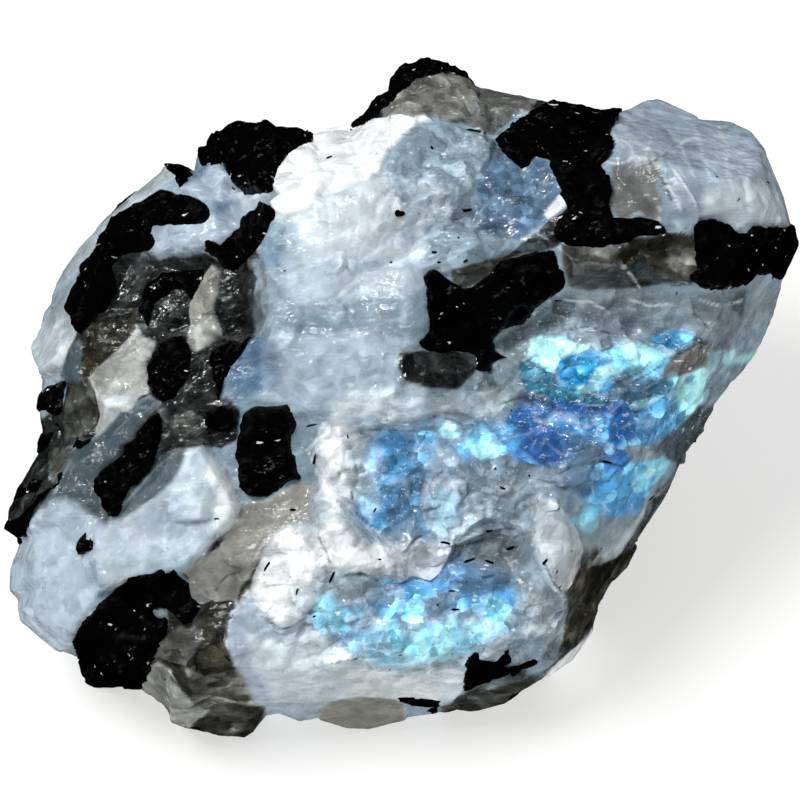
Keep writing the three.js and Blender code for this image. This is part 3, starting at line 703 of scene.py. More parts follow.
    "slate heel": ("slate", 1.0, 0.2, [(748, 290), (760, 276), (775, 274), (786, 290), (784, 312),
        (768, 330), (752, 322), (744, 305)]),
    "under slab": ("smoke", 0.95, 0.2, [(400, 353), (430, 350), (473, 352), (477, 361), (471, 376),
        (460, 388), (448, 391), (430, 388), (405, 380), (398, 368)]),
    "pearl shell": ("milk", 0.4, 0.35, [(312, 500), (325, 488), (320, 470), (312, 455), (318, 440),
        (330, 432), (345, 440), (350, 455), (356, 475), (352, 490), (350, 500), (356, 515), (366, 524),
        (380, 530), (392, 540), (400, 548), (420, 540), (440, 542), (452, 548), (446, 560), (440, 572),
        (430, 580), (412, 575), (400, 582), (392, 577), (384, 573), (375, 578), (360, 571), (345, 573),
        (336, 568), (328, 555), (318, 535), (314, 515)]),
    "blue bowl": ("sky", 0.45, -0.15, [(368, 444), (384, 436), (400, 440), (416, 430), (434, 440),
        (438, 454), (424, 468), (418, 484), (420, 500), (402, 516), (390, 524), (372, 516), (362, 500),
        (366, 480), (362, 462)]),
    "bowl light": ("frost", 0.4, 0.0, [(360, 440), (378, 442), (388, 462), (376, 484), (384, 506),
        (370, 520), (356, 500), (354, 466)]),
    "bowl deep": ("periwinkle", 0.65, -0.1, [(388, 488), (404, 478), (424, 466), (436, 478), (430, 498),
        (438, 520), (430, 536), (412, 540), (396, 534), (384, 520), (390, 504)]),
    "bowl top": ("sky", 0.5, 0.1, [(376, 446), (392, 440), (408, 442), (410, 458), (396, 474), (380, 472),
        (372, 458)]),
    "petal bank": ("frost", 0.75, 0.0, [(330, 404), (360, 400), (412, 398), (440, 398), (456, 392),
        (480, 386), (506, 394), (500, 410), (476, 414), (440, 412), (400, 424), (360, 428), (334, 420)]),
    "petal rim": ("clear", 0.8, 0.2, [(420, 424), (434, 418), (450, 412), (470, 418), (476, 428),
        (466, 440), (455, 443), (442, 438), (430, 432)]),
    "petal": ("mint", 0.8, 0.1, [(438, 430), (446, 422), (458, 426), (461, 433), (452, 439), (443, 437)]),
    "blue petal": ("cyan", 0.5, 0.2, [(464, 432), (480, 424), (492, 432), (500, 448), (490, 458),
        (478, 456), (468, 446)]),
    "pillar": ("lavender", 1.0, 0.2, [(424, 484), (440, 480), (458, 484), (462, 500), (462, 530),
        (455, 540), (440, 538), (428, 530), (422, 510)]),
    "pillar blue": ("cyan", 0.4, 0.0, [(428, 494), (442, 486), (456, 494), (458, 520), (446, 534),
        (430, 524)]),
    "moss": ("frost", 0.12, 0.1, [(464, 500), (475, 485), (495, 475), (520, 485), (528, 500), (528, 520),
        (520, 530), (500, 528), (485, 520), (475, 530), (465, 528)]),
    "hollow": ("storm", 0.5, -0.3, [(450, 548), (470, 540), (490, 532), (510, 528), (528, 534), (535, 548),
        (530, 562), (520, 572), (500, 566), (480, 560), (460, 556)]),
    "east lobe": ("milk", 0.35, 0.35, [(524, 500), (540, 495), (556, 500), (566, 515), (576, 530),
        (582, 548), (580, 566), (570, 585), (562, 597), (550, 585), (542, 570), (536, 552), (532, 535),
        (530, 515)]),
    "blue crescent": ("periwinkle", 0.78, -0.1, [(452, 560), (470, 562), (500, 568), (512, 578), (505, 590),
        (480, 598), (460, 592), (445, 580)]),
    "mint west": ("mint", 0.95, 0.2, [(524, 356), (535, 350), (552, 344), (566, 341), (590, 347),
        (580, 352), (568, 357), (560, 361), (556, 369), (546, 366), (540, 358), (530, 361)]),
    "teal slope": ("teal", 1.0, -0.1, [(520, 362), (530, 358), (545, 366), (556, 372), (560, 384),
        (575, 388), (590, 392), (612, 398), (612, 406), (590, 406), (560, 402), (540, 396), (525, 392),
        (518, 378)]),
    "deep band": ("cobalt", 0.8, -0.1, [(516, 398), (530, 392), (560, 402), (600, 406), (618, 400),
        (606, 418), (575, 416), (545, 408), (525, 408)]),
    "azure lens": ("azure", 1.0, -0.2, [(560, 358), (575, 353), (590, 354), (602, 357), (616, 360),
        (606, 370), (597, 378), (585, 384), (570, 386), (560, 380), (556, 370)]),
    "lens light": ("mint", 0.8, 0.0, [(598, 368), (610, 364), (620, 365), (612, 375), (600, 380),
        (588, 384)]),
    "green facets": ("storm", 0.7, 0.1, [(612, 382), (622, 368), (634, 364), (650, 378), (672, 380),
        (668, 394), (650, 400), (628, 404), (614, 398)]),
    "green glass": ("teal", 0.5, 0.2, [(650, 388), (660, 376), (674, 382), (672, 394), (660, 398)]),
    "mint foot": ("mint", 0.7, 0.1, [(576, 386), (590, 384), (604, 382), (600, 390), (588, 393),
        (578, 392)]),
    "cyan chip": ("cyan", 0.3, 0.1, [(600, 352), (610, 344), (625, 342), (640, 352), (632, 362),
        (615, 361)]),
    "mint chip": ("mint", 0.9, 0.1, [(624, 346), (634, 343), (637, 352), (630, 357), (624, 352)]),
    "mint ring": ("mint", 0.15, 0.15, [(640, 352), (650, 348), (660, 352), (664, 362), (656, 370),
        (646, 368), (640, 360)]),
    "blue spear": ("azure", 0.75, 0.15, [(664, 332), (680, 328), (696, 337), (684, 342), (676, 350),
        (668, 348), (664, 342)]),
    "brown lens": ("ash", 1.0, 0.1, [(700, 344), (712, 348), (706, 362), (692, 372), (680, 377), (664, 372),
        (668, 364), (682, 354)]),
    "east crumbs": ("mint", 0.5, 0.2, [(708, 352), (720, 348), (730, 354), (726, 370), (716, 382),
        (706, 372)]),
    "mint cluster": ("mint", 1.0, 0.2, [(684, 376), (696, 370), (704, 366), (712, 372), (710, 388),
        (714, 400), (704, 412), (694, 415), (682, 412), (676, 400), (676, 392)]),
    "cluster shade": ("cyan", 0.3, 0.0, [(676, 384), (694, 386), (700, 400), (696, 414), (684, 414),
        (674, 402)]),
    "azure fleck": ("azure", 0.8, 0.1, [(684, 378), (692, 374), (698, 376), (692, 384), (686, 386)]),
    "steel tile": ("sky", 0.75, 0.25, [(651, 408), (664, 398), (674, 400), (678, 412), (683, 420),
        (674, 426), (664, 420), (656, 413)]),
    "white tongue": ("mint", 0.6, 0.2, [(628, 406), (640, 400), (654, 398), (664, 392), (658, 400),
        (646, 406), (634, 410)]),
    "blue pool": ("sky", 0.8, -0.1, [(634, 414), (650, 410), (660, 418), (670, 426), (662, 436), (650, 440),
        (638, 440), (634, 426)]),
    "violet fold": ("cobalt", 0.7, 0.15, [(606, 420), (618, 404), (628, 410), (636, 425), (634, 440),
        (622, 452), (608, 456), (604, 440)]),
    "slate pool": ("periwinkle", 0.65, 0.0, [(560, 432), (604, 432), (606, 456), (600, 480), (585, 500),
        (568, 490), (560, 465)]),
    "violet bed": ("cobalt", 0.55, -0.05, [(520, 446), (535, 440), (550, 434), (566, 432), (572, 445),
        (566, 460), (548, 468), (530, 462)]),
    "cobalt heart": ("cobalt", 1.0, 0.0, [(514, 415), (530, 412), (545, 425), (540, 436), (530, 444),
        (520, 436), (516, 424)]),
    "cobalt light": ("sky", 0.9, 0.15, [(504, 428), (512, 422), (518, 430), (520, 445), (514, 455),
        (506, 452), (502, 440)]),
    "cobalt ridge": ("sky", 0.8, 0.15, [(548, 412), (560, 418), (580, 422), (604, 418), (604, 428),
        (585, 430), (565, 428), (552, 422)]),
    "fish": ("cyan", 0.9, 0.15, [(632, 484), (640, 474), (650, 466), (664, 462), (676, 470), (672, 478),
        (660, 486), (645, 492), (634, 492)]),
    "fish heart": ("azure", 0.7, 0.0, [(648, 478), (656, 474), (662, 478), (656, 483), (648, 483)]),
    "fish fin": ("mint", 0.8, 0.1, [(640, 476), (650, 468), (664, 464), (670, 470), (656, 472),
        (646, 478)]),
    "blue slope": ("sky", 0.85, 0.1, [(604, 484), (616, 474), (630, 470), (640, 468), (632, 480),
        (626, 492), (618, 500), (608, 504), (602, 495)]),
    "pale chips": ("cyan", 0.5, 0.1, [(580, 514), (592, 512), (600, 518), (598, 528), (590, 534),
        (580, 530)]),
    "flank": ("frost", 0.1, 0.0, [(584, 562), (585, 540), (600, 528), (620, 516), (640, 500), (662, 492),
        (684, 470), (690, 500), (650, 560), (625, 580), (604, 570)]),
    "flank edge": ("frost", 0.9, 0.1, [(600, 556), (622, 538), (640, 516), (652, 500), (664, 496),
        (656, 510), (642, 526), (626, 548), (608, 562)]),
    "brown side": ("umber", 0.9, 0.0, [(582, 566), (600, 564), (625, 554), (650, 540), (660, 570),
        (620, 640), (590, 634), (575, 640), (558, 654), (563, 630), (567, 610), (567, 598), (563, 592),
        (575, 586), (581, 576)]),
    "dark side": ("storm", 0.85, 0.0, [(712, 405), (740, 400), (716, 450), (694, 474), (676, 462),
        (650, 450), (664, 438), (680, 426), (696, 416)]),
    "lower haze": ("frost", 0.4, 0.0, [(322, 606), (350, 614), (400, 618), (450, 612), (505, 604),
        (520, 612), (512, 640), (475, 664), (400, 670), (345, 662), (322, 640)]),
    "lower veil": ("frost", 0.45, 0.0, [(322, 588), (345, 578), (372, 580), (402, 588), (404, 604),
        (370, 604), (345, 608), (324, 606)]),
    "lower hem": ("frost", 0.45, 0.0, [(396, 654), (440, 658), (470, 646), (506, 644), (500, 664),
        (450, 672), (400, 668)]),
    "hem": ("frost", 0.5, 0.1, [(520, 592), (540, 584), (552, 596), (556, 622), (546, 640), (524, 640),
        (514, 620)]),
    "lower light": ("cyan", 0.45, 0.0, [(330, 622), (360, 632), (400, 624), (470, 620), (490, 634),
        (470, 655), (400, 668), (360, 660)]),
    "lower mint west": ("cyan", 0.7, 0.15, [(322, 596), (332, 590), (340, 604), (350, 626), (344, 636),
        (332, 624)]),
    "lower mint middle": ("mint", 0.7, 0.15, [(408, 622), (418, 618), (424, 634), (430, 652), (422, 662),
        (412, 644)]),
    "lower mint low": ("cyan", 0.8, 0.1, [(384, 614), (394, 612), (400, 630), (404, 648), (394, 650),
        (386, 632)]),
    "lower mint east": ("mint", 0.6, 0.15, [(436, 626), (448, 624), (452, 640), (450, 656), (440, 662),
        (434, 644)]),
    "lower cyan east": ("cyan", 0.9, 0.15, [(480, 598), (492, 594), (504, 604), (508, 618), (496, 624),
        (484, 614)]),
    "lower mint edge": ("mint", 0.6, 0.1, [(464, 620), (476, 616), (480, 630), (470, 640), (462, 634)]),
    "south apron": ("frost", 1.0, 0.0, [(306, 668), (330, 656), (352, 664), (400, 674), (440, 668),
        (464, 676), (462, 698), (440, 710), (412, 706), (392, 712), (372, 700), (344, 706), (316, 704)]),
    "apron light": ("milk", 0.5, 0.0, [(340, 676), (366, 668), (396, 678), (424, 680), (446, 688),
        (440, 704), (416, 704), (388, 704), (360, 694), (344, 690)]),
    "grey bean": ("sand", 0.9, 0.2, [(318, 716), (330, 706), (348, 699), (362, 696), (380, 700), (396, 709),
        (406, 720), (400, 745), (355, 750), (325, 738)]),
    "brown lip": ("dusk", 0.9, 0.1, [(440, 712), (465, 700), (490, 688), (520, 680), (545, 672), (540, 695),
        (515, 715), (480, 725), (455, 722)]),
    "low crease": ("dusk", 0.6, 0.0, [(540, 660), (548, 642), (562, 632), (590, 634), (576, 646),
        (556, 662)]),
    "white shelf": ("milk", 1.0, 0.2, [(545, 674), (560, 660), (580, 646), (596, 628), (606, 650),
        (575, 680)]),
}


def pane_depths(x, y):
    """How deep each point lies inside each pane, in mm."""
    return {name: inset(outline, x, y).astype(np.float32) for name, (_, _, _, outline) in PANES.items()}


# %% Veins, cracks and painted shade lines
VEINS = [
    # white healed cracks and bright edges: paths on the sheet
    [(697, 138), (685, 140), (675, 149), (662, 158), (650, 160)],
    [(656, 163), (664, 178), (674, 196), (682, 212)], [(668, 162), (682, 180), (692, 196), (697, 210)],
    [(651, 138), (647, 150), (645, 158)],
    [(622, 140), (630, 145), (633, 153), (630, 160), (618, 164), (606, 162)],
    [(655, 198), (660, 210), (658, 224)], [(726, 118), (728, 140), (726, 160), (729, 182)],
    [(697, 120), (699, 140), (704, 160), (712, 182)], [(744, 150), (750, 170), (746, 190)],
    [(680, 142), (686, 160), (694, 176)], [(318, 440), (308, 450), (316, 470)],
    [(316, 470), (325, 486), (313, 500)], [(212, 464), (226, 484), (241, 502)],
    [(241, 502), (236, 520), (222, 534)], [(362, 640), (368, 660), (386, 684)],
    [(524, 360), (536, 370), (545, 376)], [(620, 262), (630, 274), (640, 288)],
    [(632, 300), (650, 306), (672, 304)], [(560, 300), (590, 302), (606, 310)],
    [(700, 300), (720, 306), (742, 300)], [(255, 560), (262, 545), (276, 532)],
    [(455, 298), (457, 312), (464, 326), (468, 340), (473, 352)], [(570, 420), (590, 426), (606, 420)],
    [(606, 428), (612, 412), (622, 402)], [(546, 440), (554, 450), (566, 456)],
    [(180, 560), (200, 550), (222, 534)], [(100, 590), (110, 584), (128, 578)],
    [(380, 448), (384, 470), (378, 492)],
]

CRACKS_AND_SHADE_LINES = [
    # dark open cracks, and painted shade lines along ledge borders such as the pearl shell's: paths on the
    # sheet
    [(600, 352), (612, 346)], [(608, 480), (618, 470)], [(262, 616), (280, 630), (290, 627)],
    [(544, 562), (552, 580), (561, 592)], [(618, 382), (640, 372), (650, 362)],
    [(313, 500), (318, 520), (320, 540), (330, 562)], [(345, 575), (362, 573), (378, 580)],
    [(400, 584), (415, 578), (432, 582)], [(600, 461), (610, 464), (622, 466), (632, 458)],
    [(352, 492), (356, 512), (368, 524), (384, 532)], [(520, 446), (534, 456), (550, 468)],
    [(500, 404), (520, 398), (545, 402), (560, 410)], [(626, 408), (634, 412), (652, 408)],
    [(442, 546), (462, 546), (482, 540)], [(566, 330), (590, 326), (610, 334)],
    [(660, 366), (648, 374), (630, 384)], [(216, 590), (226, 576), (240, 572)],
    [(190, 680), (204, 692), (210, 706)], [(224, 690), (236, 700), (244, 710)],
    [(170, 676), (182, 690), (194, 704)], [(676, 148), (664, 156), (650, 162)],
    [(656, 170), (664, 184), (672, 200)],
]


# %% [markdown]
# ## A closed skin without poles
# A globe's grid pinches at its poles. Six square grids, the faces of a cube blown up into a ball, have
# cells of nearly one size instead. The ball's grid is then pushed towards the show face, where detail
# counts most, by the map that keeps circles circles.

# %% Directions over a cube
FRONT_PUSH = 0.3
SIDES = ("front", "back", "east", "west", "north", "south")


def cube_grid(cells):
    """Directions and quads of a cube's six square grids, welded along their edges. Each grid place, as
    the tangent of its angle, is brought to length 1 and then pushed to the front."""
    line = np.arange(cells + 1)
    a, b = [part.ravel() for part in np.meshgrid(line, line, indexing="ij")]
    low, high = np.zeros_like(a), np.full_like(a, cells)
    sides = [(a, b, high), (b, a, low), (high, a, b), (low, b, a), (b, high, a), (a, low, b)]
    lattice = np.concatenate([np.stack(side, axis=1) for side in sides])
    key = lattice @ [(cells + 1) ** 2, cells + 1, 1]
    _, first, welded = np.unique(key, return_index=True, return_inverse=True)
    corner = (line[:-1, None] * (cells + 1) + line[None, :-1]).ravel()
    quad = np.stack([corner, corner + cells + 1, corner + cells + 2, corner + 1], axis=1)
    quads = np.concatenate([quad + side * len(a) for side in range(6)])
    place = np.tan((lattice[first] / cells * 2 - 1) * math.pi / 4)
    way = place / np.linalg.norm(place, axis=1, keepdims=True)
    squeeze = 1 + FRONT_PUSH * way[:, 2:]
    pushed = np.concatenate([way[:, :2] * math.sqrt(1 - FRONT_PUSH ** 2), way[:, 2:] + FRONT_PUSH], axis=1)
    return pushed / squeeze, welded[quads]


# %% Build the skin
CELLS = 200
way, quads = cube_grid(CELLS)
bare_point, _ = skin(way, 0.0)
sheet_x, sheet_y = front_sheet(way, bare_point)
depths = pane_depths(sheet_x, sheet_y)
ledge = sum(height * smoothstep(-0.10, 0.14, depths[name]) for name, (_, _, height, _) in PANES.items())
skin_point, marks = skin(way, ledge)
skin_place = stand(to_rest(skin_point))
middle = (skin_place.max(0) + skin_place.min(0)) / 2
heart = np.array([-middle[0], -middle[1], -BASE_LEVEL])
print(f"skin: {2 * len(quads)} triangles, {np.ptp(skin_place, axis=0).round(2)} mm")

# %% Making a mesh
MM = 0.001


def corner_normals(place, quads):
    """Normal of each point: the sum over its quads of the cross product of their diagonals."""
    a, b, c, d = place[quads.T]
    face = np.cross(c - a, d - b)
    corners = quads.ravel()
    total = np.stack([np.bincount(corners, np.repeat(part, 4), len(place)) for part in face.T], axis=1)
    return total / np.maximum(np.linalg.norm(total, axis=1, keepdims=True), TINY)


def make_piece(name, place, quads, normals, fields):
    """Puts the quads and the points that they use (mm from the heart, resting frame) into a mesh, with
    named point fields. The normals are the whole skin's, so that no seam shows between two pieces."""
    used, packed = np.unique(quads, return_inverse=True)
    mesh = bpy.data.meshes.new(name)
    mesh.vertices.add(len(used))
    mesh.vertices.foreach_set("co", ((place[used] + heart) * MM).astype(np.float32).ravel())
    mesh.loops.add(quads.size)
    mesh.loops.foreach_set("vertex_index", packed.astype(np.int32).ravel())
    mesh.polygons.add(len(quads))
    mesh.polygons.foreach_set("loop_start", np.arange(0, quads.size, 4, dtype=np.int32))
    mesh.update(calc_edges=True)
    for field, values in fields.items():
        layer = mesh.attributes.new(field, "FLOAT", "POINT")
        layer.data.foreach_set("value", values[used].astype(np.float32))
    mesh.shade_smooth()
    mesh.normals_split_custom_set_from_vertices(normals[used])
    piece = bpy.data.objects.new(name, mesh)
    bpy.context.scene.collection.objects.link(piece)
    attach(piece, "root")
    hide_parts("rough_moonstone")
    print(f"{name}: {2 * len(quads)} triangles")
    return piece


# %% [markdown]
# ## The black crystals
# Tourmaline is the harder mineral, so its stubby black crystals stand a little proud of the feldspar.
# They could be blocks sunk into the stone, but blocks would float or drown where the skin bends. So the
# skin is used again: inside each outline it is lifted by a small wall, and the quads below are dropped.

# %% Tourmaline crystals
TOURMALINE = {
    # name: (how far it stands proud in mm, outline on the sheet)
    "north-west crest": (0.5, [(312, 136), (288, 150), (278, 166), (270, 189), (242, 194), (231, 179),
        (221, 161), (199, 164), (196, 150), (190, 130), (215, 95), (262, 80), (300, 92), (318, 115)]),
    "north-west tip": (0.3, [(158, 160), (168, 150), (192, 160), (190, 172), (176, 190), (173, 176)]),
    "west crescent": (0.6, [(163, 187), (180, 193), (196, 197), (207, 207), (208, 214), (203, 223),
        (178, 223), (150, 223), (148, 231), (152, 239), (150, 245), (140, 252), (127, 251), (118, 256),
        (109, 266), (113, 280), (113, 292), (104, 307), (92, 319), (77, 333), (71, 321), (66, 306),
        (67, 296), (70, 282), (80, 261), (99, 236), (111, 219), (142, 200), (155, 191)]),
    "west link": (0.4, [(256, 197), (266, 200), (274, 210), (275, 215), (265, 230), (257, 246), (244, 262),
        (234, 271), (221, 268), (214, 256), (201, 250), (205, 238), (214, 241), (221, 245), (228, 235),
        (237, 228), (241, 217), (252, 208)]),
    "west pool": (0.3, [(160, 269), (200, 267), (204, 272), (197, 286), (190, 300), (182, 289), (171, 289),
        (162, 297), (153, 302), (151, 315), (147, 328), (139, 320), (139, 306), (141, 287), (147, 279)]),
    "west finger": (0.6, [(180, 334), (171, 337), (161, 342), (152, 353), (146, 367), (148, 382),
        (152, 396), (160, 402), (172, 398), (184, 383), (188, 372), (190, 354), (185, 342)]),
    "west seam": (0.3, [(262, 333), (251, 334), (240, 340), (228, 339), (208, 349), (205, 360), (208, 374),
        (213, 388), (214, 402), (220, 402), (222, 390), (226, 377), (231, 366), (238, 356), (244, 348),
        (250, 340)]),
    "west blade": (0.6, [(157, 413), (148, 415), (141, 424), (137, 437), (124, 444), (121, 455), (106, 467),
        (96, 476), (92, 488), (99, 496), (101, 506), (109, 516), (117, 515), (122, 498), (135, 482),
        (147, 471), (154, 456), (159, 441), (161, 425)]),
    "west bead": (0.3, [(205, 410), (220, 405), (232, 412), (237, 424), (226, 434), (212, 434),
        (204, 424)]),
    "middle block": (0.6, [(242, 414), (254, 407), (286, 406), (295, 420), (296, 427), (289, 436),
        (290, 446), (297, 470), (301, 480), (287, 483), (277, 491), (266, 498), (251, 498), (238, 488),
        (237, 471), (234, 458), (235, 444), (239, 432)]),
    "middle slab": (0.6, [(423, 276), (430, 268), (437, 270), (455, 282), (464, 289), (482, 279),
        (494, 271), (500, 260), (512, 257), (556, 248), (559, 258), (564, 272), (567, 286), (553, 296),
        (533, 311), (524, 323), (503, 329), (493, 338), (497, 350), (507, 357), (492, 362), (491, 370),
        (477, 370), (476, 354), (463, 352), (428, 350), (418, 342), (430, 332), (428, 306), (427, 288)]),
    "north band": (0.5, [(497, 137), (504, 129), (514, 120), (528, 112), (548, 100), (565, 85), (600, 88),
        (622, 100), (622, 111), (613, 127), (614, 147), (606, 163), (612, 180), (615, 192), (611, 202),
        (615, 217), (640, 215), (654, 219), (667, 231), (642, 235), (628, 241), (600, 246), (580, 246),
        (561, 241), (554, 231), (559, 216), (570, 206), (563, 192), (557, 176), (549, 160), (537, 153),
        (530, 165), (522, 167), (514, 158), (502, 148)]),
    "north cap": (0.3, [(350, 128), (355, 105), (375, 70), (392, 45), (430, 35), (466, 48), (482, 76),
        (478, 82), (464, 76), (450, 72), (431, 73), (416, 77), (404, 86), (394, 99), (383, 106),
        (376, 114)]),
    "east cap": (0.6, [(697, 226), (702, 221), (712, 219), (730, 224), (738, 232), (747, 236), (755, 224),
        (784, 226), (800, 222), (825, 240), (828, 268), (800, 282), (788, 279), (783, 270), (775, 273),
        (760, 273), (750, 284), (734, 288), (712, 289), (693, 281), (692, 275), (700, 268), (697, 250)]),
    "south-west block": (0.6, [(103, 600), (112, 592), (127, 580), (158, 571), (165, 575), (172, 570),
        (178, 578), (187, 584), (191, 599), (199, 608), (189, 625), (168, 610), (152, 613), (150, 618),
        (165, 619), (167, 630), (162, 641), (156, 645), (153, 657), (146, 682), (128, 705), (95, 700),
        (75, 675), (76, 658), (71, 645), (78, 629), (87, 617)]),
    "south fleck": (0.3, [(468, 660), (475, 653), (481, 656), (482, 661), (488, 664), (496, 663),
        (502, 658), (510, 650), (512, 663), (504, 668), (511, 674), (494, 682), (478, 692), (462, 699),
        (464, 684)]),
    "south splinter": (0.25, [(511, 671), (529, 662), (540, 659), (541, 666), (528, 673), (512, 680),
        (510, 675)]),
    "south rim streak": (0.2, [(396, 706), (412, 704), (444, 706), (438, 716), (412, 717), (398, 714)]),
    "south rim sliver": (0.2, [(505, 702), (515, 694), (528, 688), (532, 696), (515, 712)]),
    "far west knot": (0.3, [(30, 402), (43, 387), (54, 383), (58, 378), (64, 377), (66, 383), (61, 397),
        (60, 407), (56, 417), (46, 412), (32, 412)]),
    "far west heel": (0.3, [(-8, 532), (5, 520), (16, 518), (32, 497), (54, 482), (57, 473), (64, 473),
        (56, 486), (43, 497), (30, 517), (21, 545)]),
    "far west spine": (0.25, [(15, 484), (30, 478), (44, 481), (40, 490), (28, 494), (10, 502)]),
    "far west tooth": (0.25, [(32, 442), (42, 432), (50, 431), (55, 420), (58, 417), (50, 438), (44, 452),
        (34, 456)]),
    "west chip": (0.3, [(83, 533), (84, 540), (90, 540), (96, 544), (92, 551), (79, 555), (75, 544)]),
    "west notch": (0.2, [(73, 437), (77, 428), (76, 438), (82, 440), (92, 440), (78, 450), (70, 454)]),
    "side east": (0.5, [(735, 425), (765, 395), (800, 420), (790, 480), (745, 500), (730, 460)]),
    "side south": (0.5, [(300, 760), (360, 750), (420, 765), (430, 810), (360, 830), (310, 800)]),
    "side west": (0.5, [(-10, 300), (10, 270), (25, 300), (15, 360), (-25, 390), (-50, 340)]),
    "side north": (0.4, [(640, 70), (690, 80), (740, 85), (730, 50), (680, 30), (645, 40)]),
}

BACK_TOURMALINE = [
    # like, middle u, v, turn in degrees, size
    ("west crescent", 560, 180, 35, 1.1),
    ("middle slab", 300, 330, -60, 1.0),
    ("north band", 180, 230, 80, 0.9),
    ("middle block", 640, 420, 15, 1.2),
    ("west blade", 430, 200, -25, 1.1),
]


def moved(outline, u, v, turn, size):
    """An outline moved so that its middle lies at (u, v), turned and resized."""
    points = np.array(outline, float)
    offset = (points - points.mean(0)) * size
    cosine, sine = math.cos(math.radians(turn)), math.sin(math.radians(turn))
    return np.stack([u + offset[:, 0] * cosine + offset[:, 1] * sine,
                     v - offset[:, 0] * sine + offset[:, 1] * cosine], axis=1)


# %% How far the crystals rise
ROOT = 0.35  # mm, how deep below the skin a crystal's surface starts
WALL_LOW, WALL_HIGH = -0.20, 0.28  # mm inside the outline, where its wall starts and ends
BORDER_LIFT = 0.25  # mm above the skin, where the outlines are read


def walled(rise, proud, depth):
    """The higher of the rise so far and of one more crystal: a smooth wall from ROOT below the skin up
    to the crystal's own height."""
    wall = smoothstep(WALL_LOW, WALL_HIGH, depth)
    return np.maximum(rise, -ROOT + (ROOT + proud) * wall)


def crystal_rise(way, point, rough):
    """How far the crystals' surface lies above the skin; the highest crystal wins. rough frays the
    outlines. Along the rim the crystals stay low, because the outline is theirs already."""
    x, y = front_sheet(way, point + BORDER_LIFT * way)
    back_x, back_y, room = back_sheet(way)
    rise = np.full(len(way), -ROOT)
    for proud, outline in TOURMALINE.values():
        rise = walled(rise, proud, inset(outline, x, y) + rough)
    for like, *place in BACK_TOURMALINE:
        proud, outline = TOURMALINE[like]
        depth = np.minimum(inset(moved(outline, *place), back_x, back_y), room)
        rise = walled(rise, proud, depth + rough)
    return np.where(rise > 0, rise * (0.3 + 0.7 * smoothstep(0, 0.4, np.abs(way[:, 2]))), rise)


# %% Build the tourmaline
fray, _, _ = facets(skin_point, "fray")
fine_fray, _, _ = facets(skin_point, "fine fray")
rise = crystal_rise(way, skin_point, 0.35 * fray + 0.5 * fine_fray)
broken, facet, _ = facets(skin_point, "crystal")
fine_broken, _, _ = facets(skin_point, "fine crystal")
low_at_rim = 0.4 + 0.6 * smoothstep(0, 0.4, np.abs(way[:, 2]))
lift = rise + (broken + fine_broken) * smoothstep(-ROOT, 0.1, rise) * low_at_rim
crystal_place = stand(to_rest(skin_point + way * lift[:, None]))
crystal_quads = quads[(rise[quads] > -ROOT + 0.01).any(axis=1)]
crystal_normals = corner_normals(crystal_place, crystal_quads)
tourmaline = make_piece("tourmaline", crystal_place, crystal_quads, crystal_normals, {"facet": facet})

# %% [markdown]
# ## The feldspar and its zones
# The feldspar is one mineral, but it looks different from place to place: milky where it is full of tiny
# cracks and layers, smoky where dark minerals lie just under the skin, clear where it is whole, and blue
# or cyan where the layers that flash face the light. A piece for each tone would leave hard seams, so
# each tone is stored on the skin as a field of numbers from 0 to 1, made by patches and panes.

# %% Smoky zones
SMOKY = [
    [(262, 275), (263, 330), (207, 347), (170, 335), (92, 380), (88, 345), (80, 330), (113, 292),
     (113, 255), (150, 247), (160, 262), (222, 270), (250, 262)],
    [(368, 118), (395, 70), (425, 60), (475, 75), (570, 95), (520, 113), (497, 137), (430, 118),
     (410, 122)],
    [(560, 243), (600, 246), (668, 231), (695, 232), (700, 268), (692, 280), (700, 287), (570, 287)],
    [(711, 340), (706, 368), (677, 376), (665, 371), (664, 366), (697, 337)],
    [(477, 361), (471, 376), (448, 391), (400, 378), (400, 353), (448, 348), (473, 352)],
    [(51, 502), (69, 498), (106, 525), (122, 498), (150, 470), (160, 412), (140, 401), (120, 411),
     (94, 441), (76, 451)],
    [(232, 400), (240, 412), (235, 440), (222, 450), (184, 443), (122, 502), (147, 471), (159, 441),
     (160, 400)],
    [(248, 500), (266, 503), (262, 520), (250, 545), (245, 595), (215, 590), (180, 573), (232, 530)],
    [(190, 590), (215, 588), (245, 598), (232, 612), (230, 640), (235, 670), (262, 712), (262, 760),
     (230, 790), (150, 770), (155, 706), (150, 685), (156, 650), (165, 640), (168, 610), (190, 622),
     (200, 608)],
    [(558, 652), (620, 665), (660, 600), (760, 460), (722, 405), (700, 412), (682, 440), (679, 470),
     (620, 550), (583, 572), (574, 620)],
    [(590, 635), (600, 670), (530, 740), (474, 740), (440, 713), (463, 697), (540, 668)],
    [(319, 717), (364, 697), (400, 716), (410, 740), (368, 760), (330, 750)],
    [(92, 380), (96, 400), (92, 420), (76, 440), (66, 470), (30, 515), (10, 545), (-20, 529), (-8, 500),
     (37, 453), (40, 420), (62, 400), (66, 383)],
    [(180, 340), (205, 350), (212, 400), (235, 405), (225, 440), (180, 440), (160, 425), (172, 398),
     (188, 372)],
]

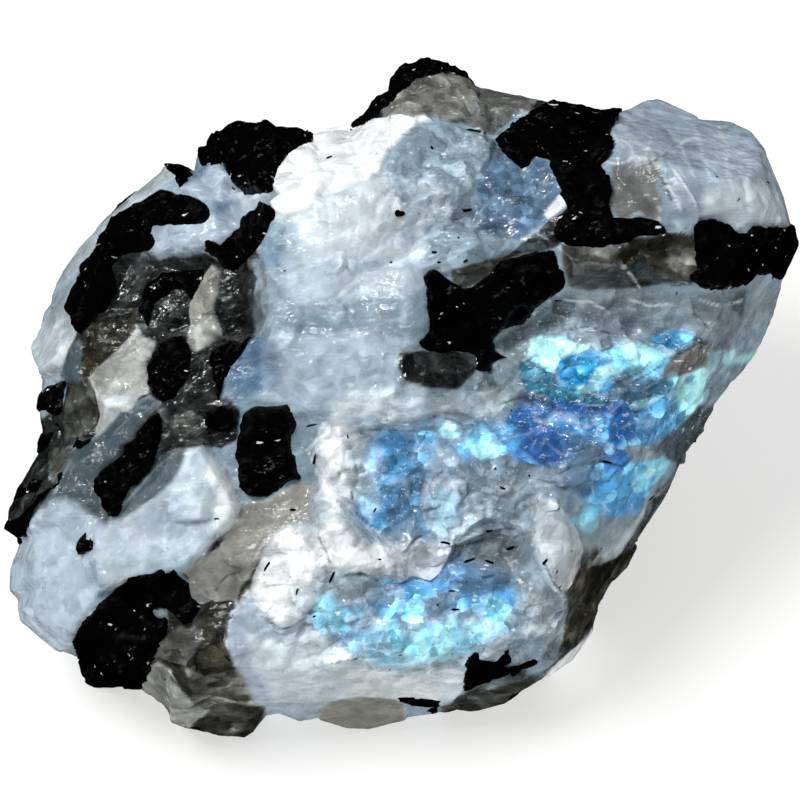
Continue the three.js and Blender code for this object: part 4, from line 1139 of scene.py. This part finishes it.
# %% Tones of the feldspar
TONES = {
    # tone: rows of middle u, v, half-width, half-height, degrees turned anticlockwise, strength
    "lavender": [(440, 155, 60, 30, 0, 0.9), (545, 215, 25, 25, 0, 0.8), (205, 185, 28, 16, 0, 1.0),
        (60, 600, 40, 60, 0, 1.0), (60, 530, 40, 35, 0, 0.9), (420, 245, 45, 25, 0, 0.9),
        (300, 370, 70, 30, 0, 0.8), (280, 650, 45, 55, 0, 1.0), (425, 555, 40, 20, 0, 0.9),
        (720, 180, 60, 50, 0, 1.0), (190, 235, 40, 14, 0, 0.8), (150, 520, 40, 25, 40, 0.9),
        (420, 180, 50, 30, 0, 0.6), (345, 300, 60, 30, 0, 0.5), (555, 540, 30, 40, 0, 0.5)],
    "milk": [(330, 160, 60, 35, 0, 1.0), (345, 215, 65, 40, 0, 1.0), (340, 460, 24, 60, 0, 0.65),
        (335, 548, 24, 30, 0, 0.8), (370, 558, 45, 16, 0, 0.7), (287, 560, 32, 40, 0, 0.8),
        (265, 600, 34, 34, 0, 0.9), (120, 388, 26, 40, 0, 0.5), (60, 320, 26, 60, 20, 0.5),
        (430, 690, 60, 20, 0, 0.5), (360, 680, 60, 25, 0, 0.5), (40, 640, 50, 30, 0, 0.5),
        (560, 610, 15, 40, 0, 0.4), (330, 130, 50, 15, 0, 0.8)],
    "periwinkle": [(520, 180, 42, 32, 0, 1.0), (500, 215, 45, 22, 0, 0.8), (545, 200, 28, 30, 0, 0.9),
        (440, 195, 40, 20, 0, 0.5), (255, 360, 32, 40, 0, 0.9), (280, 245, 28, 35, 0, 0.3),
        (235, 245, 22, 20, 0, 0.6), (455, 235, 40, 20, 0, 0.5), (330, 350, 40, 30, 0, 0.4),
        (585, 480, 40, 50, 0, 0.6), (465, 570, 60, 25, 0, 0.8), (500, 460, 60, 30, 0, 0.4)],
    "slate": [(640, 308, 95, 26, 0, 1.0), (740, 312, 50, 28, 0, 1.0), (705, 365, 34, 26, 0, 0.9),
        (460, 215, 22, 20, 0, 0.6), (395, 325, 32, 22, 0, 0.6), (510, 548, 48, 26, 0, 1.0),
        (600, 535, 38, 50, 0, 0.8), (655, 450, 30, 20, 0, 0.9), (640, 505, 30, 40, 30, 0.8),
        (645, 180, 26, 34, 0, 0.8), (640, 130, 30, 30, 0, 0.6), (690, 200, 60, 20, 0, 0.5),
        (495, 505, 35, 35, 0, 0.6), (100, 460, 40, 40, 0, 0.9), (530, 640, 40, 30, 0, 0.5),
        (510, 350, 30, 40, 0, 0.7), (205, 300, 40, 40, 0, 0.5), (560, 520, 30, 30, 0, 0.4),
        (760, 160, 20, 40, 0, 0.4)],
    "umber": [(230, 570, 34, 50, 0, 0.8), (215, 690, 45, 60, 0, 1.0), (105, 345, 30, 40, 0, 0.8),
        (430, 95, 40, 25, 0, 0.7), (640, 260, 50, 25, 0, 0.6), (590, 600, 30, 60, 0, 0.9),
        (510, 690, 50, 30, 0, 0.7), (60, 480, 40, 50, 0, 0.6)],
    "sky": [(395, 468, 36, 46, 0, 0.7), (382, 512, 28, 26, 0, 0.8), (430, 515, 26, 32, 0, 0.7),
        (440, 430, 40, 16, 0, 0.6), (575, 375, 60, 28, 0, 0.9), (600, 420, 95, 28, 0, 1.0),
        (620, 490, 44, 34, 0, 0.9), (400, 600, 62, 26, 0, 0.8), (470, 598, 60, 30, 0, 0.7),
        (430, 635, 85, 22, 0, 0.9), (345, 625, 34, 32, 0, 0.7), (365, 650, 50, 22, 0, 0.7),
        (500, 618, 28, 22, 0, 0.9), (650, 400, 34, 30, 0, 0.9), (672, 340, 24, 10, 0, 0.9),
        (480, 440, 34, 26, 0, 0.5)],
    "cobalt": [(527, 430, 24, 28, 0, 1.0), (585, 412, 60, 18, 0, 0.8), (545, 445, 42, 24, 0, 0.9),
        (405, 500, 22, 26, 0, 0.7), (612, 460, 22, 14, 0, 0.8), (470, 575, 45, 14, 0, 0.4),
        (582, 366, 34, 16, 0, 0.6), (395, 445, 24, 16, 0, 0.5), (610, 430, 50, 18, 0, 0.6)],
    "cyan": [(632, 364, 42, 22, 0, 0.8), (690, 395, 28, 28, 45, 0.9), (655, 470, 28, 12, 20, 1.0),
        (440, 428, 36, 12, 0, 0.6), (440, 645, 50, 18, 0, 0.9), (410, 656, 34, 16, 0, 0.6),
        (330, 612, 24, 24, 0, 0.7), (555, 352, 30, 16, 0, 0.8), (600, 372, 30, 14, 0, 0.5),
        (500, 612, 20, 14, 0, 0.5), (375, 480, 12, 30, 0, 0.4), (585, 515, 20, 10, 30, 0.6)],
    "mint": [(552, 350, 24, 13, -20, 1.0), (692, 392, 20, 22, 45, 0.9), (486, 450, 16, 12, 0, 0.7),
        (640, 356, 20, 12, 0, 0.7), (655, 472, 18, 7, 20, 0.7), (435, 648, 34, 10, 0, 0.6),
        (325, 606, 14, 16, 0, 0.6), (745, 350, 16, 20, 45, 0.6), (450, 432, 14, 8, 0, 0.5)],
}

# %% Layers of tone
LAYERS = ("lavender", "frost", "milk", "ivory", "sand", "periwinkle", "slate", "storm", "ash", "dusk",
          "smoke", "umber", "sky", "cobalt", "teal", "azure", "cyan", "mint")  # the first lies lowest
SHARP = 0.08  # mm to each side of a pane's border, over which it fades in
SOFT_BORDERS = {"milk": 0.10, "frost": 0.35, "lavender": 0.35, "clear": 0.30, "periwinkle": 0.35,
                "slate": 0.25, "storm": 0.20, "ash": 0.15, "sky": 0.60, "cobalt": 0.30, "cyan": 0.12,
                "mint": 0.12}


def patch_fields(x, y, back_x, back_y, behind, fray):
    """Each tone's share from its patches and the smoky zones alone, with frayed borders. The back reads
    the same tables mirrored, and the smoky zones upside down as well."""
    fields = {tone: np.zeros(len(x)) for tone in LAYERS}
    for tone, rows in TONES.items():
        share = blend(behind, soft_patches(rows, x, y), soft_patches(rows, -back_x, back_y))
        fields[tone] = smoothstep(0.25, 0.75, share + 0.7 * fray)
    front = np.max([inset(outline, x, y) for outline in SMOKY], axis=0)
    back = np.max([inset(outline, -back_x, -back_y) for outline in SMOKY], axis=0)
    depth = blend(behind, np.clip(front, -2, 2), np.clip(back, -2, 2))
    fields["smoke"] = smoothstep(-0.15, 0.25, depth + 0.9 * fray)
    return fields


def lay_panes(fields, fray, patchy):
    """Lays the panes over the tones, one after another, each like paint that covers by its share. Higher
    layers shrink by 1 - pane. The pane's own tone f, of which they hid H, rises by
    (1 - f) pane / (1 - H (1 - pane)): so what shows of it is what showed before times 1 - pane, plus pane.
    A crisp pane also gets a bright rim along its border."""
    for name, (own, share, _, _) in PANES.items():
        soft = SOFT_BORDERS.get(own, SHARP)
        pane = share * smoothstep(-soft, soft, depths[name] + 1.5 * soft * fray)
        higher = LAYERS if own == "clear" else LAYERS[LAYERS.index(own) + 1:]
        hidden = 1 - np.prod([1 - fields[tone] for tone in higher], axis=0)
        for tone in higher:
            fields[tone] *= 1 - pane
        if own != "clear":
            fields[own] += (1 - fields[own]) * pane / np.maximum(1 - hidden * (1 - pane), 0.001)
        border = 1 - smoothstep(0.02, 0.12, np.abs(depths[name] - 0.05))
        crisp = smoothstep(0.25, SHARP, soft)
        fields["rim"] = np.maximum(fields["rim"] * (1 - 0.5 * pane), border * crisp * share * patchy)


# %% All that the finish reads
def tone_fields(way, point, marks):
    """The tones, the bright rims of facets and panes, the veins, the cracks and painted shade lines, and
    the facets' own values.
    The borders of tones are frayed by noise and by the chips' values, so that they run along chips."""
    x, y = front_sheet(way, point)
    back_x, back_y, room = back_sheet(way)
    behind = smoothstep(0.5, 6, room)
    wisp = cloud(point, 2.4, 4, 31) - 0.5
    fray = 1.1 * wisp + 0.30 * (marks["chip"] - 0.5) + 0.20 * (marks["crumb"] - 0.5)
    fields = patch_fields(x, y, back_x, back_y, behind, fray)
    patchy = smoothstep(0.35, 0.65, cloud(point, 1.2, 2, 41))
    plate_rims = 1 - smoothstep(0, 0.05, marks["plate_rim"])
    chip_rims = 1 - smoothstep(0, 0.08, marks["chip_rim"])
    fields["rim"] = np.maximum(plate_rims, 0.6 * chip_rims) * patchy
    lay_panes(fields, fray, patchy)
    wander = 0.10 * (cloud(point, 0.5, 2, 61) - 0.5)
    veins = np.min([path_distance(path, x, y) for path in VEINS], axis=0)
    cracks_and_shade_lines = np.min([path_distance(path, x, y) for path in CRACKS_AND_SHADE_LINES], axis=0)
    fields["vein"] = 1 - smoothstep(0.02, 0.12, veins + wander)
    fields["crack_and_shade"] = 1 - smoothstep(0.02, 0.10, cracks_and_shade_lines + wander)
    fields["chip"] = marks["chip"]
    fields["crumb"] = marks["crumb"]
    fields["crumbly"] = blend(behind, soft_patches(CRUMBLY, x, y), 0.6)
    return fields


# %% Build the feldspar
fields = tone_fields(way, skin_point, marks)
skin_normals = corner_normals(skin_place, quads)
feldspar = []
for name, part in zip(SIDES, np.split(quads, 6)):
    piece = make_piece(f"feldspar_{name}", skin_place, part, skin_normals, fields)
    feldspar.append(piece)

# %% [markdown]
# ## Needles and specks
# Short black splinters of tourmaline lie in the feldspar all over, like pepper. A few stand out and are
# placed one by one; the rest are scattered. Each is one small six-sided rod, pointed at both ends and half
# sunk into the skin. A particle system could strew them, but one array and one mesh are lighter.

# %% Needles
NEEDLES = [
    # middle u, v, length mm, width mm, turn in degrees
    (400, 213, 0.8, 0.75, 0), (467, 209, 0.8, 0.45, 15), (331, 161, 0.5, 0.3, 40),
    (501, 487, 0.8, 0.35, -20), (435, 253, 0.4, 0.3, 0), (440, 262, 0.3, 0.25, 0), (465, 262, 0.4, 0.3, 30),
    (316, 459, 1.1, 0.25, 60), (268, 566, 0.8, 0.3, 60), (332, 577, 1.2, 0.3, 62), (293, 510, 0.5, 0.3, 0),
    (217, 520, 0.4, 0.2, 0), (347, 436, 0.4, 0.2, 80), (380, 558, 0.4, 0.25, 0), (447, 543, 0.9, 0.3, -10),
    (490, 532, 0.7, 0.3, 10), (470, 560, 1.0, 0.35, 20), (490, 563, 0.8, 0.35, -30),
    (512, 550, 1.1, 0.4, 15), (543, 560, 0.7, 0.3, 40), (453, 590, 0.6, 0.25, 0),
    (475, 131, 1.5, 0.45, -25), (311, 425, 1.5, 0.25, 15), (608, 462, 1.0, 0.25, -10),
    (660, 500, 0.8, 0.3, 50), (455, 610, 0.6, 0.25, 0), (400, 655, 0.4, 0.3, 0), (560, 300, 0.6, 0.2, 0),
]
SCATTERED = 90

# %% Rods
RING = 6  # points
RINGS = 4
ROD_PLACES = np.repeat([-0.5, -0.3, 0.25, 0.5], RING)  # along the rod, as shares of its length
ROD_GIRTHS = np.repeat([0.15, 0.5, 0.42, 0.1], RING)  # off its axis, as shares of its width
ROD_TURNS = np.tile(np.arange(RING) * 2 * math.pi / RING, RINGS)
ROD_ENDS = np.array([[3, 2, 1, 0], [0, 5, 4, 3], [18, 19, 20, 21], [21, 22, 23, 18]])


def rods(middle, along, out, length, width):
    """Six-sided rods, all at once: middle + place along + girth (cosine sideways + sine outwards).
    Returns the points, rod by rod, and the quads."""
    girth = (ROD_GIRTHS * width[:, None])[..., None]
    sideways = np.cross(out, along)[:, None] * np.cos(ROD_TURNS)[:, None]
    outwards = out[:, None] * np.sin(ROD_TURNS)[:, None]
    reach = along[:, None] * (ROD_PLACES * length[:, None])[..., None]
    place = middle[:, None] + reach + girth * (sideways + outwards)
    here = np.arange(RING * (RINGS - 1))
    after = here // RING * RING + (here + 1) % RING
    walls = np.stack([here, after, after + RING, here + RING], axis=1)
    quads = np.concatenate([walls, ROD_ENDS]) + RING * RINGS * np.arange(len(middle))[:, None, None]
    return place.reshape(-1, 3), quads.reshape(-1, 4)


# %% Build the needles
placed = on_face([(u, v) for u, v, *_ in NEEDLES])
behind = np.where(way[:, 2] < 0, np.inf, 0)
closest = [np.argmin((sheet_x - x) ** 2 + (sheet_y - y) ** 2 + behind) for x, y in placed]
seeds = np.arange(SCATTERED)
strewn = (scatter(seeds, 51) * len(way)).astype(int)
spots = np.concatenate([closest, strewn])
lengths = np.concatenate([[row[2] for row in NEEDLES], 0.15 + 0.45 * scatter(seeds, 52) ** 2])
widths = np.concatenate([[0.75 * row[3] for row in NEEDLES], 0.09 + 0.12 * scatter(seeds, 53)])
turns = np.radians(np.concatenate([[row[4] for row in NEEDLES], 360 * scatter(seeds, 54)]))
out = skin_normals[spots]
across = np.cross(to_rest(np.array([[0.0, 1.0, 0.0]])), out)
across /= np.linalg.norm(across, axis=1, keepdims=True)
along = across * np.cos(turns)[:, None] + np.cross(out, across) * np.sin(turns)[:, None]
rod_place, rod_quads = rods(skin_place[spots] - 0.1 * widths[:, None] * out, along, out, lengths, widths)
rod_place = stand(rod_place)
rod_fields = {"facet": scatter(np.repeat(np.arange(len(spots)), RING * RINGS), 55)}
rod_normals = corner_normals(rod_place, rod_quads)
needles = make_piece("tourmaline_needles", rod_place, rod_quads, rod_normals, rod_fields)

# %% [markdown]
# ## Writing finishes as sums
# A finish is a tree of nodes. Wiring each node by hand hides the idea, so a socket is wrapped in a small
# class that adds and multiplies like a number, and any other node comes from one method.

# %% Sockets that do sums
class Signal:
    """One output of a finish's node tree. Sums with it add Math or Vector Math nodes."""

    def __init__(self, finish, socket):
        self.finish = finish
        self.socket = socket

    def combine(self, operation, left, right):
        """One Math node, or Vector Math when a part is a vector or a colour."""
        kinds = [part.socket.type for part in (left, right) if isinstance(part, Signal)]
        vector = any(kind in ("VECTOR", "RGBA") for kind in kinds)
        kind = "ShaderNodeVectorMath" if vector else "ShaderNodeMath"
        return self.finish.node(kind, {"operation": operation}, left, right)

    def __add__(self, other):
        return self.combine("ADD", self, other)

    def __radd__(self, other):
        return self.combine("ADD", other, self)

    def __sub__(self, other):
        return self.combine("SUBTRACT", self, other)

    def __rsub__(self, other):
        return self.combine("SUBTRACT", other, self)

    def __mul__(self, other):
        return self.combine("MULTIPLY", self, other)

    def __rpow__(self, other):
        return self.combine("POWER", other, self)


# %% A finish and its nodes
class Finish:
    """A material of one Principled shader, whose sockets take numbers, colours or Signals."""

    def __init__(self, name, **sockets):
        self.material = bpy.data.materials.new(name)
        self.material.use_nodes = True
        self.tree = self.material.node_tree
        self.set(**sockets)

    def set(self, **sockets):
        """Fills sockets of the shader; an underscore in a name stands for a space."""
        for socket, value in sockets.items():
            self.put(self.tree.nodes["Principled BSDF"].inputs[socket.replace("_", " ")], value)

    def put(self, socket, value):
        """Links a Signal to the socket, or sets a plain value on it."""
        if isinstance(value, Signal):
            self.tree.links.new(value.socket, socket)
        elif socket.type == "VECTOR" and isinstance(value, (int, float)):
            socket.default_value = (value, value, value)
        elif socket.type == "RGBA" and len(value) == 3:
            socket.default_value = (*value, 1)
        else:
            socket.default_value = value

    def node(self, kind, settings=None, *values, output=0, **named):
        """Any node: its type, its settings, then values or Signals for its inputs."""
        made = self.tree.nodes.new(kind)
        for setting, value in (settings or {}).items():
            setattr(made, setting, value)
        for socket, value in zip(made.inputs, values):
            self.put(socket, value)
        for socket, value in named.items():
            self.put(made.inputs[socket], value)
        return Signal(self, made.outputs[output])

    def field(self, name):
        """A point field of the mesh."""
        return self.node("ShaderNodeAttribute", {"attribute_name": name}, output="Fac")

    def place(self):
        """The point of the mesh, in millimetres."""
        return self.node("ShaderNodeTexCoord", output="Object") * 1000.0

    def ramp(self, value, low, high, bottom=0.0, top=1.0):
        """Smooth step of a value from low to high, onto bottom to top."""
        smooth = {"interpolation_type": "SMOOTHSTEP"}
        return self.node("ShaderNodeMapRange", smooth, value, low, high, bottom, top)

    def mix(self, share, first, second):
        """Mix of two colours."""
        made = self.tree.nodes.new("ShaderNodeMix")
        made.data_type = "RGBA"
        for index, value in ((0, share), (6, first), (7, second)):
            self.put(made.inputs[index], value)
        return Signal(self, made.outputs[2])

    def noise(self, place, scale, detail):
        """Cloudy noise, scale in lumps per millimetre."""
        return self.node("ShaderNodeTexNoise", output="Fac", Vector=place, Scale=scale, Detail=detail)

    def cells(self, place, scale):
        """A random colour for each chip-like cell, scale in cells per millimetre."""
        return self.node("ShaderNodeTexVoronoi", output="Color", Vector=place, Scale=scale)

    def red(self, colour):
        """The first of a colour's three numbers."""
        return self.node("ShaderNodeSeparateColor", None, colour)

    def arc(self, value, level, width):
        """Thin curved line along which a noise passes through a level: 1 on the line, 0 a width off it."""
        off = self.node("ShaderNodeMath", {"operation": "ABSOLUTE"}, value - level)
        return self.ramp(off, width, 0.0)

    def bump(self, height, depth):
        """Normal bent by a height, depth millimetres for each 1 of it."""
        return self.node("ShaderNodeBump", Height=height, Distance=depth * MM, Strength=1.0)

    def tilted(self, normal, tilt):
        """A normal leant by a small vector and brought back to length 1."""
        return self.node("ShaderNodeVectorMath", {"operation": "NORMALIZE"}, normal + tilt)


# %% [markdown]
# ## The feldspar's finish
# A picture wrapped round the stone would have seams and a best distance; noise in space has neither. The
# patterns are clouds for the mottling, fine grit, waves for the bumps and for arcs of painted highlight and
# painted shade, and cells for flakes and slivers. One cloud, inside, is read at a place that jumps from
# flake to flake, since each facet is a window that shows its own piece of what lies under it.

# %% Feldspar: patterns
stone = Finish("feldspar", Specular_IOR_Level=0.5, IOR=1.53, Coat_Roughness=0.05,
               Subsurface_Weight=0.12, Subsurface_Radius=(0.6, 0.7, 0.8), Subsurface_Scale=MM)
place = stone.place()
mottle = stone.noise(place, 0.9, 5.0)
grit = stone.noise(place, 3.2, 2.0)
haze = stone.noise(place, 0.28, 3.0)
wave = stone.noise(place * (1.0, 1.7, 1.2), 1.2, 3.0)
flake = stone.cells(place * (0.95, 1.5, 1.2) + mottle * 0.9, 0.8)
inside = stone.noise(place + flake * 40.0, 0.40, 1.0)
sliver = stone.cells(place * (2.2, 6.5, 4.0) + mottle * 2.2, 1.0)
print(f"feldspar patterns: {len(stone.tree.nodes)} nodes")

# %% [markdown]
# The tones are laid over one another like washes of ink on the clear ground. Where the flash is blue, the
# cloud inside deepens some flakes and lights others.

# %% Feldspar: washes
WASHES = {
    # tone: (colour, strength)
    "lavender": ((0.42, 0.51, 0.60), 0.97),
    "frost": ((0.66, 0.76, 0.82), 1.0),
    "milk": ((0.90, 0.93, 0.94), 1.0),
    "ivory": ((0.56, 0.58, 0.55), 1.0),
    "sand": ((0.31, 0.31, 0.275), 1.0),
    "periwinkle": ((0.095, 0.18, 0.29), 0.95),
    "slate": ((0.28, 0.36, 0.415), 0.95),
    "storm": ((0.055, 0.082, 0.098), 0.97),
    "ash": ((0.15, 0.153, 0.142), 0.97),
    "dusk": ((0.056, 0.058, 0.051), 0.99),
    "smoke": ((0.013, 0.014, 0.013), 0.99),
    "umber": ((0.028, 0.027, 0.018), 0.99),
    "sky": ((0.070, 0.30, 0.58), 0.97),
    "cobalt": ((0.016, 0.105, 0.34), 0.97),
    "teal": ((0.025, 0.17, 0.27), 0.97),
    "azure": ((0.006, 0.22, 0.47), 0.99),
    "cyan": ((0.17, 0.55, 0.74), 0.97),
    "mint": ((0.42, 0.82, 0.83), 0.98),
}
CLEAR = (0.27, 0.375, 0.455)
LIGHT_FLASH = (0.28, 0.70, 0.88)
DEEP_FLASH = (0.03, 0.09, 0.17)

blues = stone.field("sky") + stone.field("cobalt")
azure = stone.field("azure")
blue = stone.ramp(blues + azure * 0.2, 0.1, 1.0)
flash = stone.ramp(blues + azure + stone.field("cyan") + stone.field("mint"), 0.1, 1.0)
dark = stone.ramp(stone.field("smoke") + stone.field("umber") + stone.field("dusk") * 0.7, 0.2, 1.0)
crumbly = stone.field("crumbly")

colour = CLEAR
for tone in LAYERS:
    wash, strength = WASHES[tone]
    colour = stone.mix(stone.field(tone) * strength, colour, wash)
colour = stone.mix(stone.ramp(inside, 0.54, 0.72) * blue * 0.55, colour, LIGHT_FLASH)
colour = stone.mix(stone.ramp(inside, 0.44, 0.32) * blue * 0.32, colour, DEEP_FLASH)
print(f"feldspar washes: {len(LAYERS)} tones")

# %% [markdown]
# Each chip sends back its own share of light. The eye judges light as the ear judges pitch, in doublings,
# so the patterns are summed as stops and two is raised to them. The smoky glass swings most.

# %% Feldspar: light
loud = 0.55 + crumbly * 0.85 + dark * 2.6
stops = loud * ((stone.field("chip") - 0.5) * 0.40 + (stone.field("crumb") - 0.5) * 0.30
                + (inside - 0.5) * 2.2 + (mottle - 0.5) * 1.3 + (haze - 0.5) * 2.0)
colour = colour * 2.0 ** stops

# %% [markdown]
# Over the light lie the fine lines, each one more mix: bright rims and veins; pale arcs of painted
# highlight beside dark arcs of painted shade, as on the edge of a small step; open cracks with painted
# shade lines along ledge borders; and the few slivers painted near white as glints.

# %% Feldspar: lines and painted glints
RIM = (0.80, 0.86, 0.88)
VEIN = (0.86, 0.91, 0.93)
ARC_HIGHLIGHT = (0.80, 0.88, 0.90)
ARC_SHADE = (0.04, 0.05, 0.055)
CRACK_AND_SHADE_LINE = (0.03, 0.032, 0.034)
PAINTED_GLINT = (0.92, 0.96, 0.97)

# painted highlight and painted shade: a pale arc and a dark arc side by side along the wave, as on a small
# step's edge
painted_arc_highlight = stone.arc(wave, 0.51, 0.014) * stone.ramp(grit, 0.48, 0.58) * (0.10 + crumbly * 0.60)
painted_arc_shade = stone.arc(wave, 0.47, 0.014) * stone.ramp(grit, 0.44, 0.54) * (0.15 + crumbly * 0.55)
# painted glints: the rare slivers with the highest cell value are painted near white
painted_glint = stone.ramp(stone.red(sliver), 0.972, 0.978) * stone.ramp(mottle, 0.48, 0.58) * (0.3 + crumbly * 0.7)
lines = [
    (stone.field("rim") * (0.32 - dark * 0.28), RIM),
    (stone.field("vein") * (0.6 - flash * 0.45), VEIN),
    (painted_arc_highlight * (1.0 - dark * 0.85), ARC_HIGHLIGHT),
    (painted_arc_shade, ARC_SHADE),
    # open cracks, and painted shade lines along ledge borders
    (stone.field("crack_and_shade") * 0.8, CRACK_AND_SHADE_LINE),
    (painted_glint * (1.0 - dark * 0.75) * (1.0 - flash * 0.3), PAINTED_GLINT),
]
for share, line in lines:
    colour = stone.mix(share, colour, line)
stone.set(Base_Color=colour)
print(f"feldspar lines: {len(lines)} kinds")

# %% [markdown]
# The flash and the milk get a painted glow: their colour is fed to the emission, so they shine a little by
# themselves. A thin coat gives the gloss, more of it where the stone is freshly broken. Slivers and flakes
# each tilt the surface their own way, which costs no triangles and breaks the lamp's image up.

# %% Feldspar: painted glow, gloss and tilt
# painted glow: emission from the flash and from the whitest milk
painted_glow = flash + stone.ramp(stone.field("milk"), 0.7, 1.0) * 0.45
ridged = stone.bump(grit * 0.30 + mottle * 0.6 + wave * 0.9, 0.14)
tilt = (sliver - 0.5) * (0.01 + crumbly * 0.15) + (flake - 0.5) * (0.14 + crumbly * 0.30)
stone.set(Emission_Color=colour * painted_glow, Emission_Strength=0.26, Coat_Weight=0.15 + crumbly * 0.35,
          Roughness=stone.ramp(mottle, 0.3, 0.7, 0.16, 0.36), Normal=stone.tilted(ridged, tilt))
for piece in feldspar:
    piece.data.materials.append(stone.material)
print(f"feldspar finish: {len(stone.tree.nodes)} nodes on {len(feldspar)} pieces")

# %% [markdown]
# ## The tourmaline's finish
# Black tourmaline is glossy like obsidian, but grooved along each crystal and broken across, so its
# highlights are short, jagged glints on an almost black ground. A plain glossy black would mirror the
# lamp as one smooth blot, so cells tilt the surface here too. On top, a few slivers get painted glints in
# their colour, and some facets a painted sheen of greyer black.

# %% Tourmaline finish
JET = (0.0008, 0.0008, 0.0009)
SHEEN_JET = (0.008, 0.008, 0.009)
JET_PAINTED_GLINT = (0.8, 0.82, 0.84)

black = Finish("tourmaline", Specular_IOR_Level=0.03, IOR=1.64)
place = black.place()
mottle = black.noise(place, 1.4, 5.0)
sliver = black.cells(place * (2.6, 8.0, 4.5) + mottle * 2.2, 1.0)
own_light = black.field("facet")
# painted sheen: some facets painted a greyer black where the mottle is high
colour = black.mix(black.ramp(mottle, 0.5, 0.8) * own_light, JET, SHEEN_JET)
# painted glints: rare slivers painted almost white where the mottle is high
painted_glint = black.ramp(black.red(sliver), 0.987, 0.990) * black.ramp(mottle, 0.50, 0.60)
black.set(Base_Color=black.mix(painted_glint, colour, JET_PAINTED_GLINT),
          Roughness=black.ramp(own_light + (mottle - 0.5), 0.2, 0.9, 0.16, 0.42),
          Normal=black.tilted(black.bump(mottle, 0.10), (sliver - 0.5) * 0.35))
for piece in (tourmaline, needles):
    piece.data.materials.append(black.material)
print(f"tourmaline finish: {len(black.tree.nodes)} nodes")

# %% [markdown]
# ## Studio
# A pale floor runs far out and turns up in a low kerb, like paper swept up behind the stone. An even sky
# fills the shadows. One wide lamp from the upper left only lights the colours, and a small one beside it
# only makes the glints, so that each can be set by itself.

# %% Floor
FLOOR_HALF = 3.0  # m
KERB = 0.3  # m
SQUARE = [(-1, -1), (1, -1), (1, 1), (-1, 1)]

floor_corners = [(FLOOR_HALF * x, FLOOR_HALF * y, z) for z in (0, KERB) for x, y in SQUARE]
kerbs = [((side + 1) % 4, side, side + 4, (side + 1) % 4 + 4) for side in range(4)]
floor_mesh = bpy.data.meshes.new("floor")
floor_mesh.from_pydata(floor_corners, [], [(0, 1, 2, 3), *kerbs])
floor = bpy.data.objects.new("floor", floor_mesh)
bpy.context.scene.collection.objects.link(floor)
paper = Finish("floor", Base_Color=(0.42, 0.42, 0.41), Roughness=0.9, Emission_Color=(1.0, 1.0, 0.985),
               Emission_Strength=0.62)
floor_mesh.materials.append(paper.material)
floor.visible_glossy = False

# %% Lamps
LAMP_DISTANCE = 0.3  # m
heart_spot = heart * MM
right = np.array([1.0, 0, 0])
up_face = np.array([0, math.sin(FACE_TILT), math.cos(FACE_TILT)])
out_of_face = np.array([0, -math.cos(FACE_TILT), math.sin(FACE_TILT)])


def far_lamp(name, way, strength, spread, glints):
    """A lamp so far off that its light is parallel, in a direction given as rightwards, up the face and
    out of it. spread is its width in degrees, seen from the stone. With glints it makes reflections only,
    and without them it lights colours only, as behind crossed polarising filters."""
    direction = way[0] * right + way[1] * up_face + way[2] * out_of_face
    lamp = bpy.data.lights.new(name, "SUN")
    lamp.angle = math.radians(spread)
    lamp.energy = strength
    light = bpy.data.objects.new(name, lamp)
    light.visible_glossy = glints
    light.visible_diffuse = not glints
    light.location = heart_spot + direction / np.linalg.norm(direction) * LAMP_DISTANCE
    light.rotation_euler = mathutils.Vector(-direction).to_track_quat("-Z", "Y").to_euler()
    bpy.context.scene.collection.objects.link(light)


far_lamp("key", (-0.50, 0.55, 0.9), strength=2.5, spread=24, glints=False)
far_lamp("spark", (-0.60, 0.80, 0.9), strength=1.5, spread=4, glints=True)

# %% Sky
SKY = (0.97, 0.98, 1.0, 1)
SKY_STRENGTH = 0.38

sky = bpy.data.worlds.new("studio")
sky.use_nodes = True
background = sky.node_tree.nodes["Background"].inputs
background["Color"].default_value = SKY
background["Strength"].default_value = SKY_STRENGTH
sky.cycles_visibility.glossy = False
bpy.context.scene.world = sky
bpy.context.scene.view_settings.view_transform = "Standard"

# %% Camera
camera_data = bpy.data.cameras.new("camera")
camera_data.lens = LENS
camera_data.sensor_width = SENSOR
camera = bpy.data.objects.new("camera", camera_data)
camera.location = heart_spot + out_of_face * VIEW_DISTANCE * MM
camera.rotation_euler = (math.pi / 2 - FACE_TILT, 0, 0)
bpy.context.scene.collection.objects.link(camera)
bpy.context.scene.camera = camera
print(f"camera {VIEW_DISTANCE:.0f} mm from the stone's heart")
